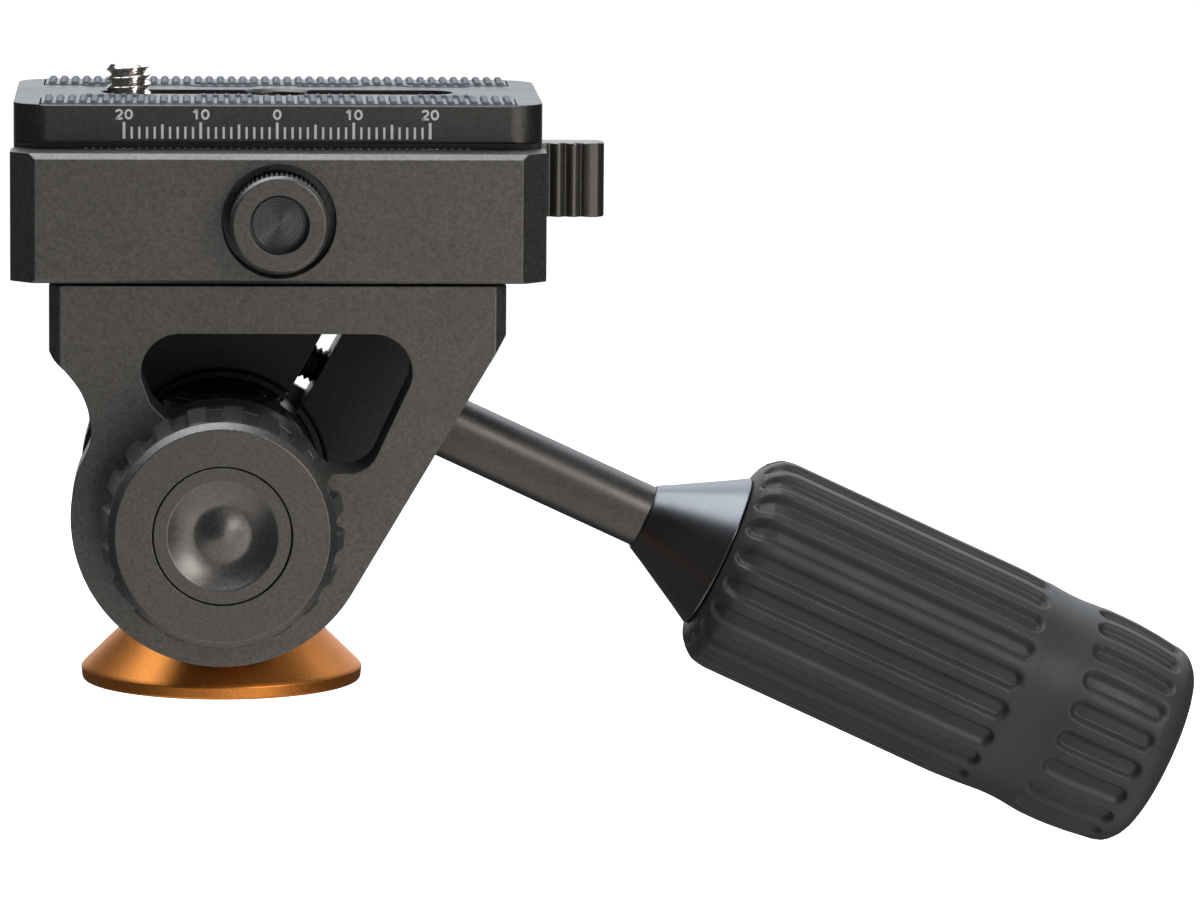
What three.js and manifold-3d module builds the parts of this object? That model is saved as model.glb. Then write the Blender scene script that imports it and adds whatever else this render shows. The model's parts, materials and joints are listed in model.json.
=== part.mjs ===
// Compact fluid head for photo and video work, as an assembly of separate pieces.
// Millimetres. +Z up, +X towards the operator's handle, +Y away from the big lock knob.
// Origin: centre of the tripod socket, on the pan axis, at the underside of the base.

import * as THREE from "three";
import { mergeVertices } from "three/addons/utils/BufferGeometryUtils.js";
import Module from "manifold-3d";

const wasm = await Module();
wasm.setup();

// ------------------------------------------------------------------ driving dimensions
const TILT_Z = 25.0; // height of the tilt axis (along Y, through X = 0)
const CX = 7.3; // X of the clamp's middle

// base
const BASE_R = 18.7; // rim radius
const BASE_RIM_H = 1.75; // rim height
const BASE_TOP_R = 11.0;
const BASE_TOP_Z = 9.4;
const SOCKET_R = 4.5; // 3/8 inch tripod thread, mean radius
const SOCKET_DEPTH = 8.9;
const SPINDLE_R = 5.0;

// pan housing
const HOUSING_R = 7.8; // upright barrel
const HOUSING_FOOT_R = 12.0;
const HOUSING_TOP_Z = 37.7;
const DRUM_R = 13.0; // tilt drum in the split arm
const DRUM_Y0 = 10.0;
const DRUM_Y1 = 24.2;
const TRUNNION_R = 7.0; // bearing neck in the front arm
const TRUNNION_Y = -23.4;

// side arms, outline relative to the tilt axis
const LOBE_R = 19.65;
const ARM_TOP = 30.3;
const ARM_LEFT = -22.4;
const ARM_RIGHT = 36.8;
const SLANT_NX = 0.862; // unit normal of the slanted edge
const SLANT_NZ = -0.5069;
const FRONT_Y0 = -24.2; // front arm, outer face
const FRONT_YS = -15.8; // relief step that clears the base
const FRONT_Y1 = -13.2; // front arm, inner face
const REAR_Y0 = 16.0; // rear arm, inner face
const REAR_Y1 = 24.5;
const REAR_BORE_R = 14.15;
const SLIT_W = 2.4;
// the slit in the rear arm runs parallel to the slanted edge, through this point relative to the tilt axis
const SLIT_PX = 12.26;
const SLIT_PZ = 14.35;
const SLIT_UX = 0.4899;
const SLIT_UZ = 0.8718;

// handle, an axis in the plane y = HANDLE_Y
const HANDLE_Y = 20.2;
const SLIT_X = 12.22; // where the handle axis crosses the slit, relative to the tilt axis
const SLIT_Z = 14.65;
const HANDLE_DX = 0.9071; // direction of the handle axis
const HANDLE_DZ = -0.4209;
const ROD_R = 4.33;
const GRIP_R = 15.34;
const GRIP_S0 = 61.4;
const GRIP_S1 = 128.85;

// clamp
const CLAMP_L = 69.4;
const CLAMP_Y = 25.5; // half width
const CLAMP_Z0 = 55.7;
const CLAMP_Z1 = 72.5;
const CLAMP_CHAMFER = 3.2;
const FLOOR_Z = 66.6;
const JAW_Y = 12.8; // where the fixed body ends and the moving jaw begins
const JAW_Z = 59.2;
const DRAW_Z = 63.8; // axis of the draw bar and the adjusting knob
const LEVER_PIN_Y = 30.6;

// camera plate
const PLATE_L = 68.8;
const PLATE_Y = 19.0; // half width
const PLATE_Z0 = 68.7;
const PLATE_Z1 = 78.3;
const SLOT_HALF = 23.2; // half length of the camera-screw slot
const SLOT_R = 3.3;
const KEY_R = 5.0; // round widening in the middle of the slot
const PAD_X = 30.8;
const PAD_Y0 = 9.6;
const PAD_TAB_Y = 7.9; // reach of the four tabs on the inner side of a pad
const PAD_Y1 = 18.2;
const PAD_Z = 78.45;
const SCREW_X = CX - 19.7;
const SCREW_R = 3.1; // 1/4 inch camera thread

const ROUNDNESS = 0.62; // share of the nominal facet count used on round pieces

// ------------------------------------------------------------------ solids
function solid(geometry) {
  const g = geometry.clone();
  g.deleteAttribute("normal");
  g.deleteAttribute("uv");
  const m = mergeVertices(g.index ? g.toNonIndexed() : g, 1e-4);
  const idx = [];
  const a = m.index.array;
  for (let i = 0; i < a.length; i += 3)
    if (a[i] !== a[i + 1] && a[i + 1] !== a[i + 2] && a[i] !== a[i + 2])
      idx.push(a[i], a[i + 1], a[i + 2]);
  const make = (t) =>
    new wasm.Manifold(
      new wasm.Mesh({
        numProp: 3,
        vertProperties: new Float32Array(m.attributes.position.array),
        triVerts: new Uint32Array(t),
      }),
    );
  let s = make(idx);
  if (s.volume() < 0) {
    for (let i = 0; i < idx.length; i += 3)
      [idx[i + 1], idx[i + 2]] = [idx[i + 2], idx[i + 1]];
    s = make(idx);
  }
  return s;
}

const add = (...s) => s.reduce((p, q) => p.add(q));
const cut = (s, ...tools) => tools.reduce((p, q) => p.subtract(q), s);

// A box between two corners.
function box(x0, y0, z0, x1, y1, z1) {
  const g = new THREE.BoxGeometry(x1 - x0, y1 - y0, z1 - z0);
  g.translate((x0 + x1) / 2, (y0 + y1) / 2, (z0 + z1) / 2);
  return solid(g);
}

// A profile of [radius, height] points revolved about Z. It starts and ends on the axis, or closes on itself.
const facets = (segments) => Math.max(8, 4 * Math.round((segments * ROUNDNESS) / 4));
function lathe(points, segments = 40) {
  const g = new THREE.LatheGeometry(
    points.map(([r, z]) => new THREE.Vector2(r, z)),
    facets(segments),
  );
  g.rotateX(Math.PI / 2);
  return g;
}
const turned = (points, segments = 40) => solid(lathe(points, segments));
const tube = (r0, r1, z0, z1, segments = 40) =>
  turned(
    [
      [r0, z0],
      [r1, z0],
      [r1, z1],
      [r0, z1],
      [r0, z0],
    ],
    segments,
  );
const rod = (r, z0, z1, segments = 40) =>
  turned(
    [
      [0, z0],
      [r, z0],
      [r, z1],
      [0, z1],
    ],
    segments,
  );

// The same, with the axis along +Y through (x, z): a profile's height is then y.
function placeY(g, x = 0, z = 0) {
  g.rotateX(-Math.PI / 2);
  g.translate(x, 0, z);
  return g;
}
const turnedY = (points, x, z, segments = 40) =>
  solid(placeY(lathe(points, segments), x, z));
const rodY = (r, y0, y1, x, z, segments = 40) =>
  turnedY(
    [
      [0, y0],
      [r, y0],
      [r, y1],
      [0, y1],
    ],
    x,
    z,
    segments,
  );
const tubeY = (r0, r1, y0, y1, x, z, segments = 40) =>
  turnedY(
    [
      [r0, y0],
      [r1, y0],
      [r1, y1],
      [r0, y1],
      [r0, y0],
    ],
    x,
    z,
    segments,
  );

// An upright cylinder at (x, y).
function post(r, z0, z1, x, y, segments = 24) {
  const g = lathe(
    [
      [0, z0],
      [r, z0],
      [r, z1],
      [0, z1],
    ],
    segments,
  );
  g.translate(x, y, 0);
  return solid(g);
}

// A closed outline in X, Z extruded from y0 to y1.
function slabY(shape, y0, y1, curveSegments = 12) {
  const g = new THREE.ExtrudeGeometry(shape, {
    depth: y1 - y0,
    bevelEnabled: false,
    curveSegments,
  });
  g.rotateX(Math.PI / 2);
  g.translate(0, y1, 0);
  return solid(g);
}
// A closed outline in X, Y extruded from z0 to z1.
function slabZ(shape, z0, z1, curveSegments = 12) {
  const g = new THREE.ExtrudeGeometry(shape, {
    depth: z1 - z0,
    bevelEnabled: false,
    curveSegments,
  });
  g.translate(0, 0, z0);
  return solid(g);
}
// A closed outline in Y, Z extruded from x0 to x1.
function slabX(points, x0, x1) {
  const g = new THREE.ExtrudeGeometry(polygon(points), {
    depth: x1 - x0,
    bevelEnabled: false,
  });
  // (a, b, c) -> (c, a, b)
  g.applyMatrix4(new THREE.Matrix4().set(0, 0, 1, x0, 1, 0, 0, 0, 0, 1, 0, 0, 0, 0, 0, 1));
  return solid(g);
}
function polygon(points) {
  const s = new THREE.Shape();
  points.forEach(([x, y], i) => (i ? s.lineTo(x, y) : s.moveTo(x, y)));
  s.closePath();
  return s;
}
function roundedRect(x0, y0, x1, y1, r) {
  const s = new THREE.Shape();
  s.moveTo(x0 + r, y0);
  s.lineTo(x1 - r, y0);
  s.absarc(x1 - r, y0 + r, r, -Math.PI / 2, 0, false);
  s.lineTo(x1, y1 - r);
  s.absarc(x1 - r, y1 - r, r, 0, Math.PI / 2, false);
  s.lineTo(x0 + r, y1);
  s.absarc(x0 + r, y1 - r, r, Math.PI / 2, Math.PI, false);
  s.lineTo(x0, y0 + r);
  s.absarc(x0 + r, y0 + r, r, Math.PI, 1.5 * Math.PI, false);
  return s;
}
// A rectangle with 45 degree corners.
function chamferedRect(x0, y0, x1, y1, c) {
  return polygon([
    [x0 + c, y0],
    [x1 - c, y0],
    [x1, y0 + c],
    [x1, y1 - c],
    [x1 - c, y1],
    [x0 + c, y1],
    [x0, y1 - c],
    [x0, y0 + c],
  ]);
}
// A polygon with N sides inside radius r, extruded along Z.
function hex(r, z0, z1, x, y, n = 6) {
  const p = [];
  for (let i = 0; i < n; i++)
    p.push([x + r * Math.cos((2 * Math.PI * i) / n), y + r * Math.sin((2 * Math.PI * i) / n)]);
  return slabZ(polygon(p), z0, z1);
}

const toRad = (d) => (d * Math.PI) / 180;

// ------------------------------------------------------------------ scene graph
const root = new THREE.Group();
root.name = "fluid_head";
const LOOKS = {
  body: { color: 0x38383a, roughness: 0.55, metalness: 0.8 },
  black: { color: 0x1b1b1d, roughness: 0.5, metalness: 0.7 },
  orange: { color: 0xd86b14, roughness: 0.4, metalness: 0.85 },
  steel: { color: 0x9b9c9e, roughness: 0.35, metalness: 1.0 },
  nickel: { color: 0xc4c3bf, roughness: 0.22, metalness: 1.0 },
  brass: { color: 0xb5924b, roughness: 0.35, metalness: 1.0 },
  polymer: { color: 0xd9d6cc, roughness: 0.6, metalness: 0.0 },
  rubber: { color: 0x2a2a2b, roughness: 0.75, metalness: 0.0 },
  plastic: { color: 0x151516, roughness: 0.45, metalness: 0.0 },
};
function node(parent, name, s, look) {
  const m = s.getMesh();
  const n = m.numProp;
  const v = new Float32Array(m.numVert * 3);
  for (let i = 0; i < m.numVert; i++)
    v.set(m.vertProperties.subarray(i * n, i * n + 3), i * 3);
  const g = new THREE.BufferGeometry();
  g.setAttribute("position", new THREE.BufferAttribute(v, 3));
  g.setIndex(new THREE.BufferAttribute(new Uint32Array(m.triVerts), 1));
  g.computeVertexNormals();
  const mesh = new THREE.Mesh(g, new THREE.MeshStandardMaterial(LOOKS[look]));
  mesh.name = name;
  parent.add(mesh);
  return mesh;
}
function group(parent, name) {
  const g = new THREE.Group();
  g.name = name;
  parent.add(g);
  return g;
}

const base = group(root, "base_group");
const pan = group(base, "pan_group");
const tilt = group(pan, "tilt_group");

// ------------------------------------------------------------------ base
// Conical flange, with a bore for the swaged spindle.
node(
  base,
  "base_flange",
  turned(
    [
      [7.3, 0],
      [18.45, 0],
      [BASE_R, 0.25],
      [BASE_R, BASE_RIM_H],
      [18.45, BASE_RIM_H + 0.25],
      [BASE_TOP_R, BASE_TOP_Z - 0.1],
      [BASE_TOP_R - 0.15, BASE_TOP_Z],
      [7.3, BASE_TOP_Z],
      [7.3, 0],
    ],
    64,
  ),
  "orange",
);

// Steel spindle: the collar is fixed in the flange and holds the tripod socket, the shaft carries the head.
node(
  base,
  "pan_spindle",
  cut(
    turned(
      [
        [0, 0.25],
        [7.0, 0.25],
        [7.0, BASE_TOP_Z - 0.1],
        [SPINDLE_R, BASE_TOP_Z - 0.1],
        [SPINDLE_R, 28.2],
        [3.0, 28.2],
        [3.0, 34.4],
        [0, 34.4],
      ],
      32,
    ),
    rod(SOCKET_R, -1, SOCKET_DEPTH, 32),
  ),
  "steel",
);

// Thin thrust washer between the base and the pan housing.
node(base, "pan_thrust_washer", tube(5.4, 10.8, BASE_TOP_Z + 0.1, BASE_TOP_Z + 0.5, 32), "polymer");

// Nut and spring washer that hold the housing on the spindle.
node(base, "spindle_spring_washer", tube(3.2, 5.9, 30.1, 30.9, 24), "steel");
node(base, "spindle_nut", cut(hex(5.9, 31.1, 34.1, 0, 0), rod(3.15, 30, 35, 24)), "steel");

// ------------------------------------------------------------------ pan housing
const HOUSING_Z0 = BASE_TOP_Z + 0.6;
let housing = turned(
  [
    [0, HOUSING_Z0],
    [HOUSING_FOOT_R - 0.4, HOUSING_Z0],
    [HOUSING_FOOT_R, HOUSING_Z0 + 0.4],
    [HOUSING_FOOT_R, 13.2],
    [HOUSING_R + 0.6, 16.4],
    [HOUSING_R, 17.2],
    [HOUSING_R, HOUSING_TOP_Z - 0.3],
    [HOUSING_R - 0.3, HOUSING_TOP_Z],
    [0, HOUSING_TOP_Z],
  ],
  40,
);
housing = add(
  housing,
  // tilt drum on the rear, with a bevelled end
  turnedY(
    [
      [0, 2],
      [9.6, 2],
      [9.6, 8.4],
      [DRUM_R - 0.3, DRUM_Y0],
      [DRUM_R, DRUM_Y0 + 0.4],
      [DRUM_R, DRUM_Y1 - 0.4],
      [DRUM_R - 0.4, DRUM_Y1],
      [0, DRUM_Y1],
    ],
    0,
    TILT_Z,
    48,
  ),
  // shoulder and neck on the front
  turnedY(
    [
      [0, TRUNNION_Y],
      [TRUNNION_R - 0.3, TRUNNION_Y],
      [TRUNNION_R, TRUNNION_Y + 0.3],
      [TRUNNION_R, -12.2],
      [10.0, -12.2],
      [10.0, -9.2],
      [8.2, -7.4],
      [8.2, -2],
      [0, -2],
    ],
    0,
    TILT_Z,
    40,
  ),
);
housing = cut(
  housing,
  rod(6.45, HOUSING_Z0 - 1, 20.6, 32), // bronze sleeve
  rod(SPINDLE_R + 0.15, 20, 28.5, 32),
  rod(3.3, 28, 31, 24),
  rod(6.35, 30.0, HOUSING_TOP_Z + 1, 32),
  rodY(3.15, TRUNNION_Y - 1, -3, 0, TILT_Z, 24), // lock stem
  tubeY(7.2, 9.8, 13.4, DRUM_Y1 + 1, 0, TILT_Z, 40), // annular damping chamber
);
node(pan, "pan_housing", housing, "black");
node(pan, "pan_sleeve", tube(SPINDLE_R + 0.15, 6.3, HOUSING_Z0 + 0.2, 20.3, 32), "brass");
node(
  pan,
  "pan_cap",
  turned(
    [
      [0, 35.4],
      [6.1, 35.4],
      [6.1, HOUSING_TOP_Z + 0.1],
      [5.8, HOUSING_TOP_Z + 0.4],
      [0, HOUSING_TOP_Z + 0.4],
    ],
    32,
  ),
  "black",
);

// Brass shoe that the lock stem presses on the spindle.
const shoe = group(pan, "lock_shoe_group");
node(shoe, "lock_shoe", rodY(2.7, -8.5, -5.4, 0, TILT_Z, 24), "brass");

// ------------------------------------------------------------------ lock knob, on the tilt axis
const lock = group(pan, "lock_knob_group");
const KNOB_FRONT = -40.4;
const KNOB_TEETH = 20;
{
  let k = turnedY(
    [
      [0, KNOB_FRONT],
      [13.8, KNOB_FRONT],
      [14.65, KNOB_FRONT + 0.9],
      [14.8, KNOB_FRONT + 1.5],
      [15.8, -32.5],
      [15.6, -31.3],
      [14.9, -30.4],
      [12.4, -29.4],
      [11.4, -25.8],
      [0, -25.8],
    ],
    0,
    TILT_Z,
    60,
  );
  for (let i = 0; i < KNOB_TEETH; i++) {
    const a = toRad(9 + i * 18);
    k = cut(k, rodY(1.9, KNOB_FRONT + 1.6, -28, 16.6 * Math.cos(a), TILT_Z + 16.6 * Math.sin(a), 10));
  }
  k = cut(k, rodY(9.05, KNOB_FRONT - 1, -38.0, 0, TILT_Z, 40), rodY(3.3, -39, -25, 0, TILT_Z, 24));
  node(lock, "lock_knob", k, "body");
}
node(
  lock,
  "lock_knob_cap",
  turnedY(
    [
      [0, -38.3],
      [8.75, -38.3],
      [8.85, KNOB_FRONT + 0.2],
      [8.65, KNOB_FRONT],
      [7.2, KNOB_FRONT],
      [6.2, KNOB_FRONT + 0.5],
      [4.4, KNOB_FRONT + 1.1],
      [2.6, KNOB_FRONT + 1.3],
      [0, KNOB_FRONT + 1.35],
    ],
    0,
    TILT_Z,
    40,
  ),
  "body",
);
node(lock, "lock_knob_stem", rodY(3.0, -37.7, -8.8, 0, TILT_Z, 24), "steel");
node(lock, "lock_knob_washer", tubeY(3.3, 8.0, -25.5, -24.6, 0, TILT_Z, 32), "steel");

// ------------------------------------------------------------------ side arms
const T = TILT_Z;
// Outline of an arm, in X and Z, for a lobe radius and a distance of the slanted edge from the tilt axis.
function armOutline(lobe, slant, left) {
  const s = new THREE.Shape();
  const pts = [
    [ARM_LEFT, ARM_TOP],
    [ARM_LEFT, 21.6],
    [-21.7, 20.4],
    [-20.4, 19.15],
    [-19.3, 17.85],
    [-18.4, 16.55],
    [-17.8, 15.25],
    [-17.36, 13.95],
    [-17.1, 12.3],
    [-17.0, 10.9],
  ].map(([x, z]) => [Math.max(x, left), z]);
  const seen = [];
  for (const p of pts) {
    const q = seen[seen.length - 1];
    if (!q || Math.hypot(p[0] - q[0], p[1] - q[1]) > 0.05) seen.push(p);
  }
  s.moveTo(seen[0][0], T + seen[0][1]);
  for (const [x, z] of seen.slice(1)) s.lineTo(x, T + z);
  if (lobe > 18) {
    s.lineTo(-17.15, T + 9.5);
    s.lineTo(-17.75, T + 8.1);
  }
  const a0 = lobe > 18 ? 160 : 180 - Math.asin(7.0 / lobe) * (180 / Math.PI);
  const a1 = 360 + Math.atan2(SLANT_NZ, SLANT_NX) * (180 / Math.PI);
  const n = 44;
  for (let i = 0; i <= n; i++) {
    const a = toRad(a0 + ((a1 - a0) * i) / n);
    s.lineTo(lobe * Math.cos(a), T + lobe * Math.sin(a));
  }
  const right = (z) => (slant - SLANT_NZ * z) / SLANT_NX;
  const zr = (SLANT_NX * ARM_RIGHT - slant) / -SLANT_NZ; // where the slanted edge meets the upright one
  s.lineTo(right(zr), T + zr);
  if (zr < ARM_TOP - 0.1) s.lineTo(ARM_RIGHT, T + ARM_TOP);
  s.closePath();
  return s;
}

// The window of the front arm, measured on its face.
function windowShape() {
  const s = new THREE.Shape();
  const arc = (cx, cz, r, a0, a1, n) => {
    for (let i = 0; i <= n; i++) {
      const a = toRad(a0 + ((a1 - a0) * i) / n);
      s.lineTo(cx + r * Math.cos(a), T + cz + r * Math.sin(a));
    }
  };
  s.moveTo(-5.6, T + 24.0);
  arc(-5.5, 19.0, 5.0, 95, 190, 10); // upper left
  s.lineTo(-9.3, T + 14.9);
  s.lineTo(-7.2, T + 12.6);
  // lower edge, concentric with the tilt axis
  for (let i = 0; i <= 10; i++) {
    const a = toRad(118 - (118 - 24) * (i / 10));
    s.lineTo(14.3 * Math.cos(a), T + 14.3 * Math.sin(a));
  }
  arc(16.3, 9.9, 4.1, 262, 329.5, 8); // lower right
  arc(19.55, 19.0, 5.0, -30.5, 90, 12); // upper right
  s.closePath();
  return s;
}

// 45 degree chamfers on the outer upright corners of an arm; side -1 is the front arm, +1 the rear arm.
function cornerChamfers(y, side) {
  const c = 1.4;
  const prism = (x, dx) =>
    slabZ(
      polygon([
        [x, y - side * c],
        [x + dx * 0.6, y - side * c],
        [x + dx * 0.6, y + side * 0.6],
        [x - dx * c, y + side * 0.6],
        [x - dx * c, y],
      ]),
      T + 10,
      T + 40,
    );
  return add(prism(ARM_RIGHT, 1), prism(ARM_LEFT, -1));
}

const SCREW_XS = [CX - 20.5, CX + 20.5];
let front = add(
  slabY(armOutline(LOBE_R, 19.68, -30), FRONT_Y0, FRONT_YS + 0.01),
  slabY(armOutline(16.8, 16.8, -16.8), FRONT_YS, FRONT_Y1),
);
front = cut(
  front,
  slabY(windowShape(), FRONT_Y0 - 1, FRONT_Y1 + 1),
  rodY(8.35, FRONT_Y0 - 1, FRONT_Y1 + 1, 0, T, 40),
  cornerChamfers(FRONT_Y0, -1),
);
for (const x of SCREW_XS) front = cut(front, post(1.75, 50.2, 60, x, -18.6, 16));
node(tilt, "front_side_arm", front, "body");

// Rear arm: the slit runs from the bore up past the stud, then out to the right, which frees the clamping ear.
// A point in the plane of the arm: a across the slit, t along it, upwards.
const slitAt = (a, t) => [
  SLIT_PX + SLIT_UZ * a + SLIT_UX * t,
  T + SLIT_PZ - SLIT_UX * a + SLIT_UZ * t,
];
function alongHandle(geometry) {
  // moves a solid of revolution about Z to the handle axis, height 0 at the slit
  const q = new THREE.Quaternion().setFromUnitVectors(
    new THREE.Vector3(0, 0, 1),
    new THREE.Vector3(HANDLE_DX, 0, HANDLE_DZ).normalize(),
  );
  geometry.applyQuaternion(q);
  geometry.translate(SLIT_X, HANDLE_Y, T + SLIT_Z);
  return geometry;
}
const onHandle = (points, segments = 32) => solid(alongHandle(lathe(points, segments)));
const rodH = (r, s0, s1, segments = 24) =>
  onHandle(
    [
      [0, s0],
      [r, s0],
      [r, s1],
      [0, s1],
    ],
    segments,
  );
let rear = slabY(armOutline(19.0, 19.68, -30), REAR_Y0, REAR_Y1);
{
  const w = SLIT_W / 2;
  const top = 25.6; // upper edge of the cross slit, relative to the tilt axis
  const tTop = (top - SLIT_PZ) / SLIT_UZ;
  const xTop = SLIT_PX + SLIT_UX * tTop;
  const slit = slabY(
    polygon([slitAt(-w, -9), slitAt(w, -9), slitAt(w, tTop), slitAt(-w, tTop)]),
    REAR_Y0 - 1,
    REAR_Y1 + 1,
  );
  const cross = slabY(
    polygon([
      [xTop - 1.5, T + top - 1.8],
      [ARM_RIGHT + 2, T + top - 1.8],
      [ARM_RIGHT + 2, T + top],
      [xTop - 1.5, T + top],
    ]),
    REAR_Y0 - 1,
    REAR_Y1 + 1,
  );
  rear = cut(
    rear,
    rodY(REAR_BORE_R, REAR_Y0 - 1, REAR_Y1 + 1, 0, T, 56),
    turnedY(
      [
        [0, REAR_Y0 - 1],
        [REAR_BORE_R + 0.5, REAR_Y0 - 1],
        [REAR_BORE_R + 0.5, REAR_Y0],
        [REAR_BORE_R, REAR_Y0 + 0.5],
        [0, REAR_Y0 + 0.5],
      ],
      0,
      T,
      56,
    ),
    slit,
    cross,
    rodH(2.8, -12, 30), // clearance and thread for the stud
    rodH(5.4, 16.15, 40, 32), // spot face for the handle's shoulder
    cornerChamfers(REAR_Y1, 1),
  );
}
for (const x of SCREW_XS) rear = cut(rear, post(1.75, 51.6, 60, x, 20.2, 16));
const CAP_SCREW_ANGLES = [100, 172, 244];
for (const a of CAP_SCREW_ANGLES)
  rear = cut(
    rear,
    rodY(1.25, 19.5, REAR_Y1 + 1, 16.9 * Math.cos(toRad(a)), T + 16.9 * Math.sin(toRad(a)), 14),
  );
node(tilt, "rear_clamp_arm", rear, "body");

// Flanged bearing bush in the front arm.
node(
  tilt,
  "front_bushing",
  turnedY(
    [
      [TRUNNION_R + 0.12, -23.8],
      [8.2, -23.8],
      [8.2, -13.1],
      [9.9, -13.1],
      [9.9, -12.35],
      [TRUNNION_R + 0.12, -12.35],
      [TRUNNION_R + 0.12, -23.8],
    ],
    0,
    T,
    32,
  ),
  "brass",
);

// Split liner between the rear arm and the drum.
{
  let liner = tubeY(DRUM_R + 0.15, REAR_BORE_R - 0.15, REAR_Y0 + 0.3, REAR_Y1 - 0.3, 0, T, 56);
  const w = SLIT_W / 2;
  liner = cut(
    liner,
    slabY(polygon([slitAt(-w, -9), slitAt(w, -9), slitAt(w, 3), slitAt(-w, 3)]), REAR_Y0 - 1, REAR_Y1 + 1),
  );
  node(tilt, "drum_liner", liner, "plastic");
}

// Rear cover with the damping rotor that runs in the grease-filled chamber of the drum.
{
  let cap = turnedY(
    [
      [0, REAR_Y1 + 0.15],
      [18.3, REAR_Y1 + 0.15],
      [18.3, REAR_Y1 + 1.5],
      [17.7, REAR_Y1 + 2.1],
      [11.0, REAR_Y1 + 2.1],
      [10.4, REAR_Y1 + 1.6],
      [0, REAR_Y1 + 1.6],
    ],
    0,
    T,
    48,
  );
  for (const a of CAP_SCREW_ANGLES) {
    const xs = 16.9 * Math.cos(toRad(a)), zs = T + 16.9 * Math.sin(toRad(a));
    cap = cut(cap, rodY(1.45, REAR_Y1 - 1, REAR_Y1 + 3, xs, zs, 14));
  }
  // notch in line with the slit, so that the cover does not tie its two sides together
  const w = SLIT_W / 2 + 0.35;
  cap = cut(
    cap,
    slabY(polygon([slitAt(-w, -3.9), slitAt(w, -3.9), slitAt(w, 6), slitAt(-w, 6)]), REAR_Y1 - 1, REAR_Y1 + 4),
  );
  node(tilt, "rear_cover", cap, "body");
  node(tilt, "damping_rotor", tubeY(7.7, 9.3, 14.0, REAR_Y1, 0, T, 40), "steel");
  node(
    tilt,
    "chamber_seal",
    tubeY(10.2, 12.2, DRUM_Y1 + 0.1, REAR_Y1 + 0.05, 0, T, 32),
    "rubber",
  );
  CAP_SCREW_ANGLES.forEach((a, i) => {
    const xs = 16.9 * Math.cos(toRad(a)), zs = T + 16.9 * Math.sin(toRad(a));
    // screw with a low head proud of the cover
    let s = turnedY(
      [
        [0, 19.8],
        [1.0, 19.8],
        [1.1, 20.0],
        [1.1, REAR_Y1 + 2.25],
        [1.9, REAR_Y1 + 2.25],
        [1.9, REAR_Y1 + 3.2],
        [1.5, REAR_Y1 + 3.6],
        [0, REAR_Y1 + 3.6],
      ],
      xs,
      zs,
      18,
    );
    const h = new THREE.CylinderGeometry(0.95, 0.95, 2.4, 6);
    h.translate(xs, REAR_Y1 + 3.8, zs);
    s = cut(s, solid(h));
    node(tilt, "rear_cover_screw_" + (i + 1), s, "steel");
  });
}

// ------------------------------------------------------------------ clamp
const CX0 = CX - CLAMP_L / 2;
const CX1 = CX + CLAMP_L / 2;
const clampPlan = slabZ(
  chamferedRect(CX0, -CLAMP_Y, CX1, CLAMP_Y, CLAMP_CHAMFER),
  CLAMP_Z0 - 1,
  CLAMP_Z1 + 1,
);
const LIP_Y = 17.15; // tip of a jaw
const GROOVE_Y = 19.3;
{
  // section in Y, Z: fixed jaw on the near side, seat for the moving jaw on the far side
  let c = slabX(
    [
      [-CLAMP_Y, CLAMP_Z0 + 0.5],
      [-CLAMP_Y + 0.5, CLAMP_Z0],
      [CLAMP_Y - 0.5, CLAMP_Z0],
      [CLAMP_Y, CLAMP_Z0 + 0.5],
      [CLAMP_Y, JAW_Z - 0.3],
      [JAW_Y, JAW_Z - 0.3],
      [JAW_Y, FLOOR_Z],
      [-GROOVE_Y, FLOOR_Z],
      [-GROOVE_Y, 69.62],
      [-LIP_Y, 71.77],
      [-LIP_Y, CLAMP_Z1],
      [-CLAMP_Y + 0.78, CLAMP_Z1],
      [-CLAMP_Y, CLAMP_Z1 - 0.78],
    ],
    CX0,
    CX1,
  );
  c = c.intersect(clampPlan);
  c = cut(
    c,
    rodY(7.35, -CLAMP_Y - 1, -21.9, CX, DRAW_Z, 40), // counterbore of the adjusting knob
    rodY(2.3, -23, JAW_Y + 1, CX, DRAW_Z, 20),
    // grooves in the floor for the plate's stop screws
    box(CX0 - 1, -2.6, FLOOR_Z - 1.7, CX - 7.5, 2.6, FLOOR_Z + 1),
    box(CX + 7.5, -2.6, FLOOR_Z - 1.7, CX1 + 1, 2.6, FLOOR_Z + 1),
    // spring pockets
    rodY(2.1, 6.0, JAW_Y + 1, CX - 11, DRAW_Z - 1.2, 16),
    rodY(2.1, 6.0, JAW_Y + 1, CX + 11, DRAW_Z - 1.2, 16),
    // guide pins
    rodY(1.8, 2.0, JAW_Y + 1, CX - 24, DRAW_Z - 1.2, 16),
    rodY(1.8, 2.0, JAW_Y + 1, CX + 24, DRAW_Z - 1.2, 16),
  );
  for (const x of SCREW_XS)
    c = cut(
      c,
      post(1.75, 55, 70, x, -18.6, 16),
      post(3.1, 61.0, 70, x, -18.6, 20), // counterbores below the floor, near side
      post(1.75, 55, 62, x, 20.2, 16),
      post(3.3, 57.0, 62, x, 20.2, 20),
    );
  node(tilt, "clamp_body", c, "body");
}

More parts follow.
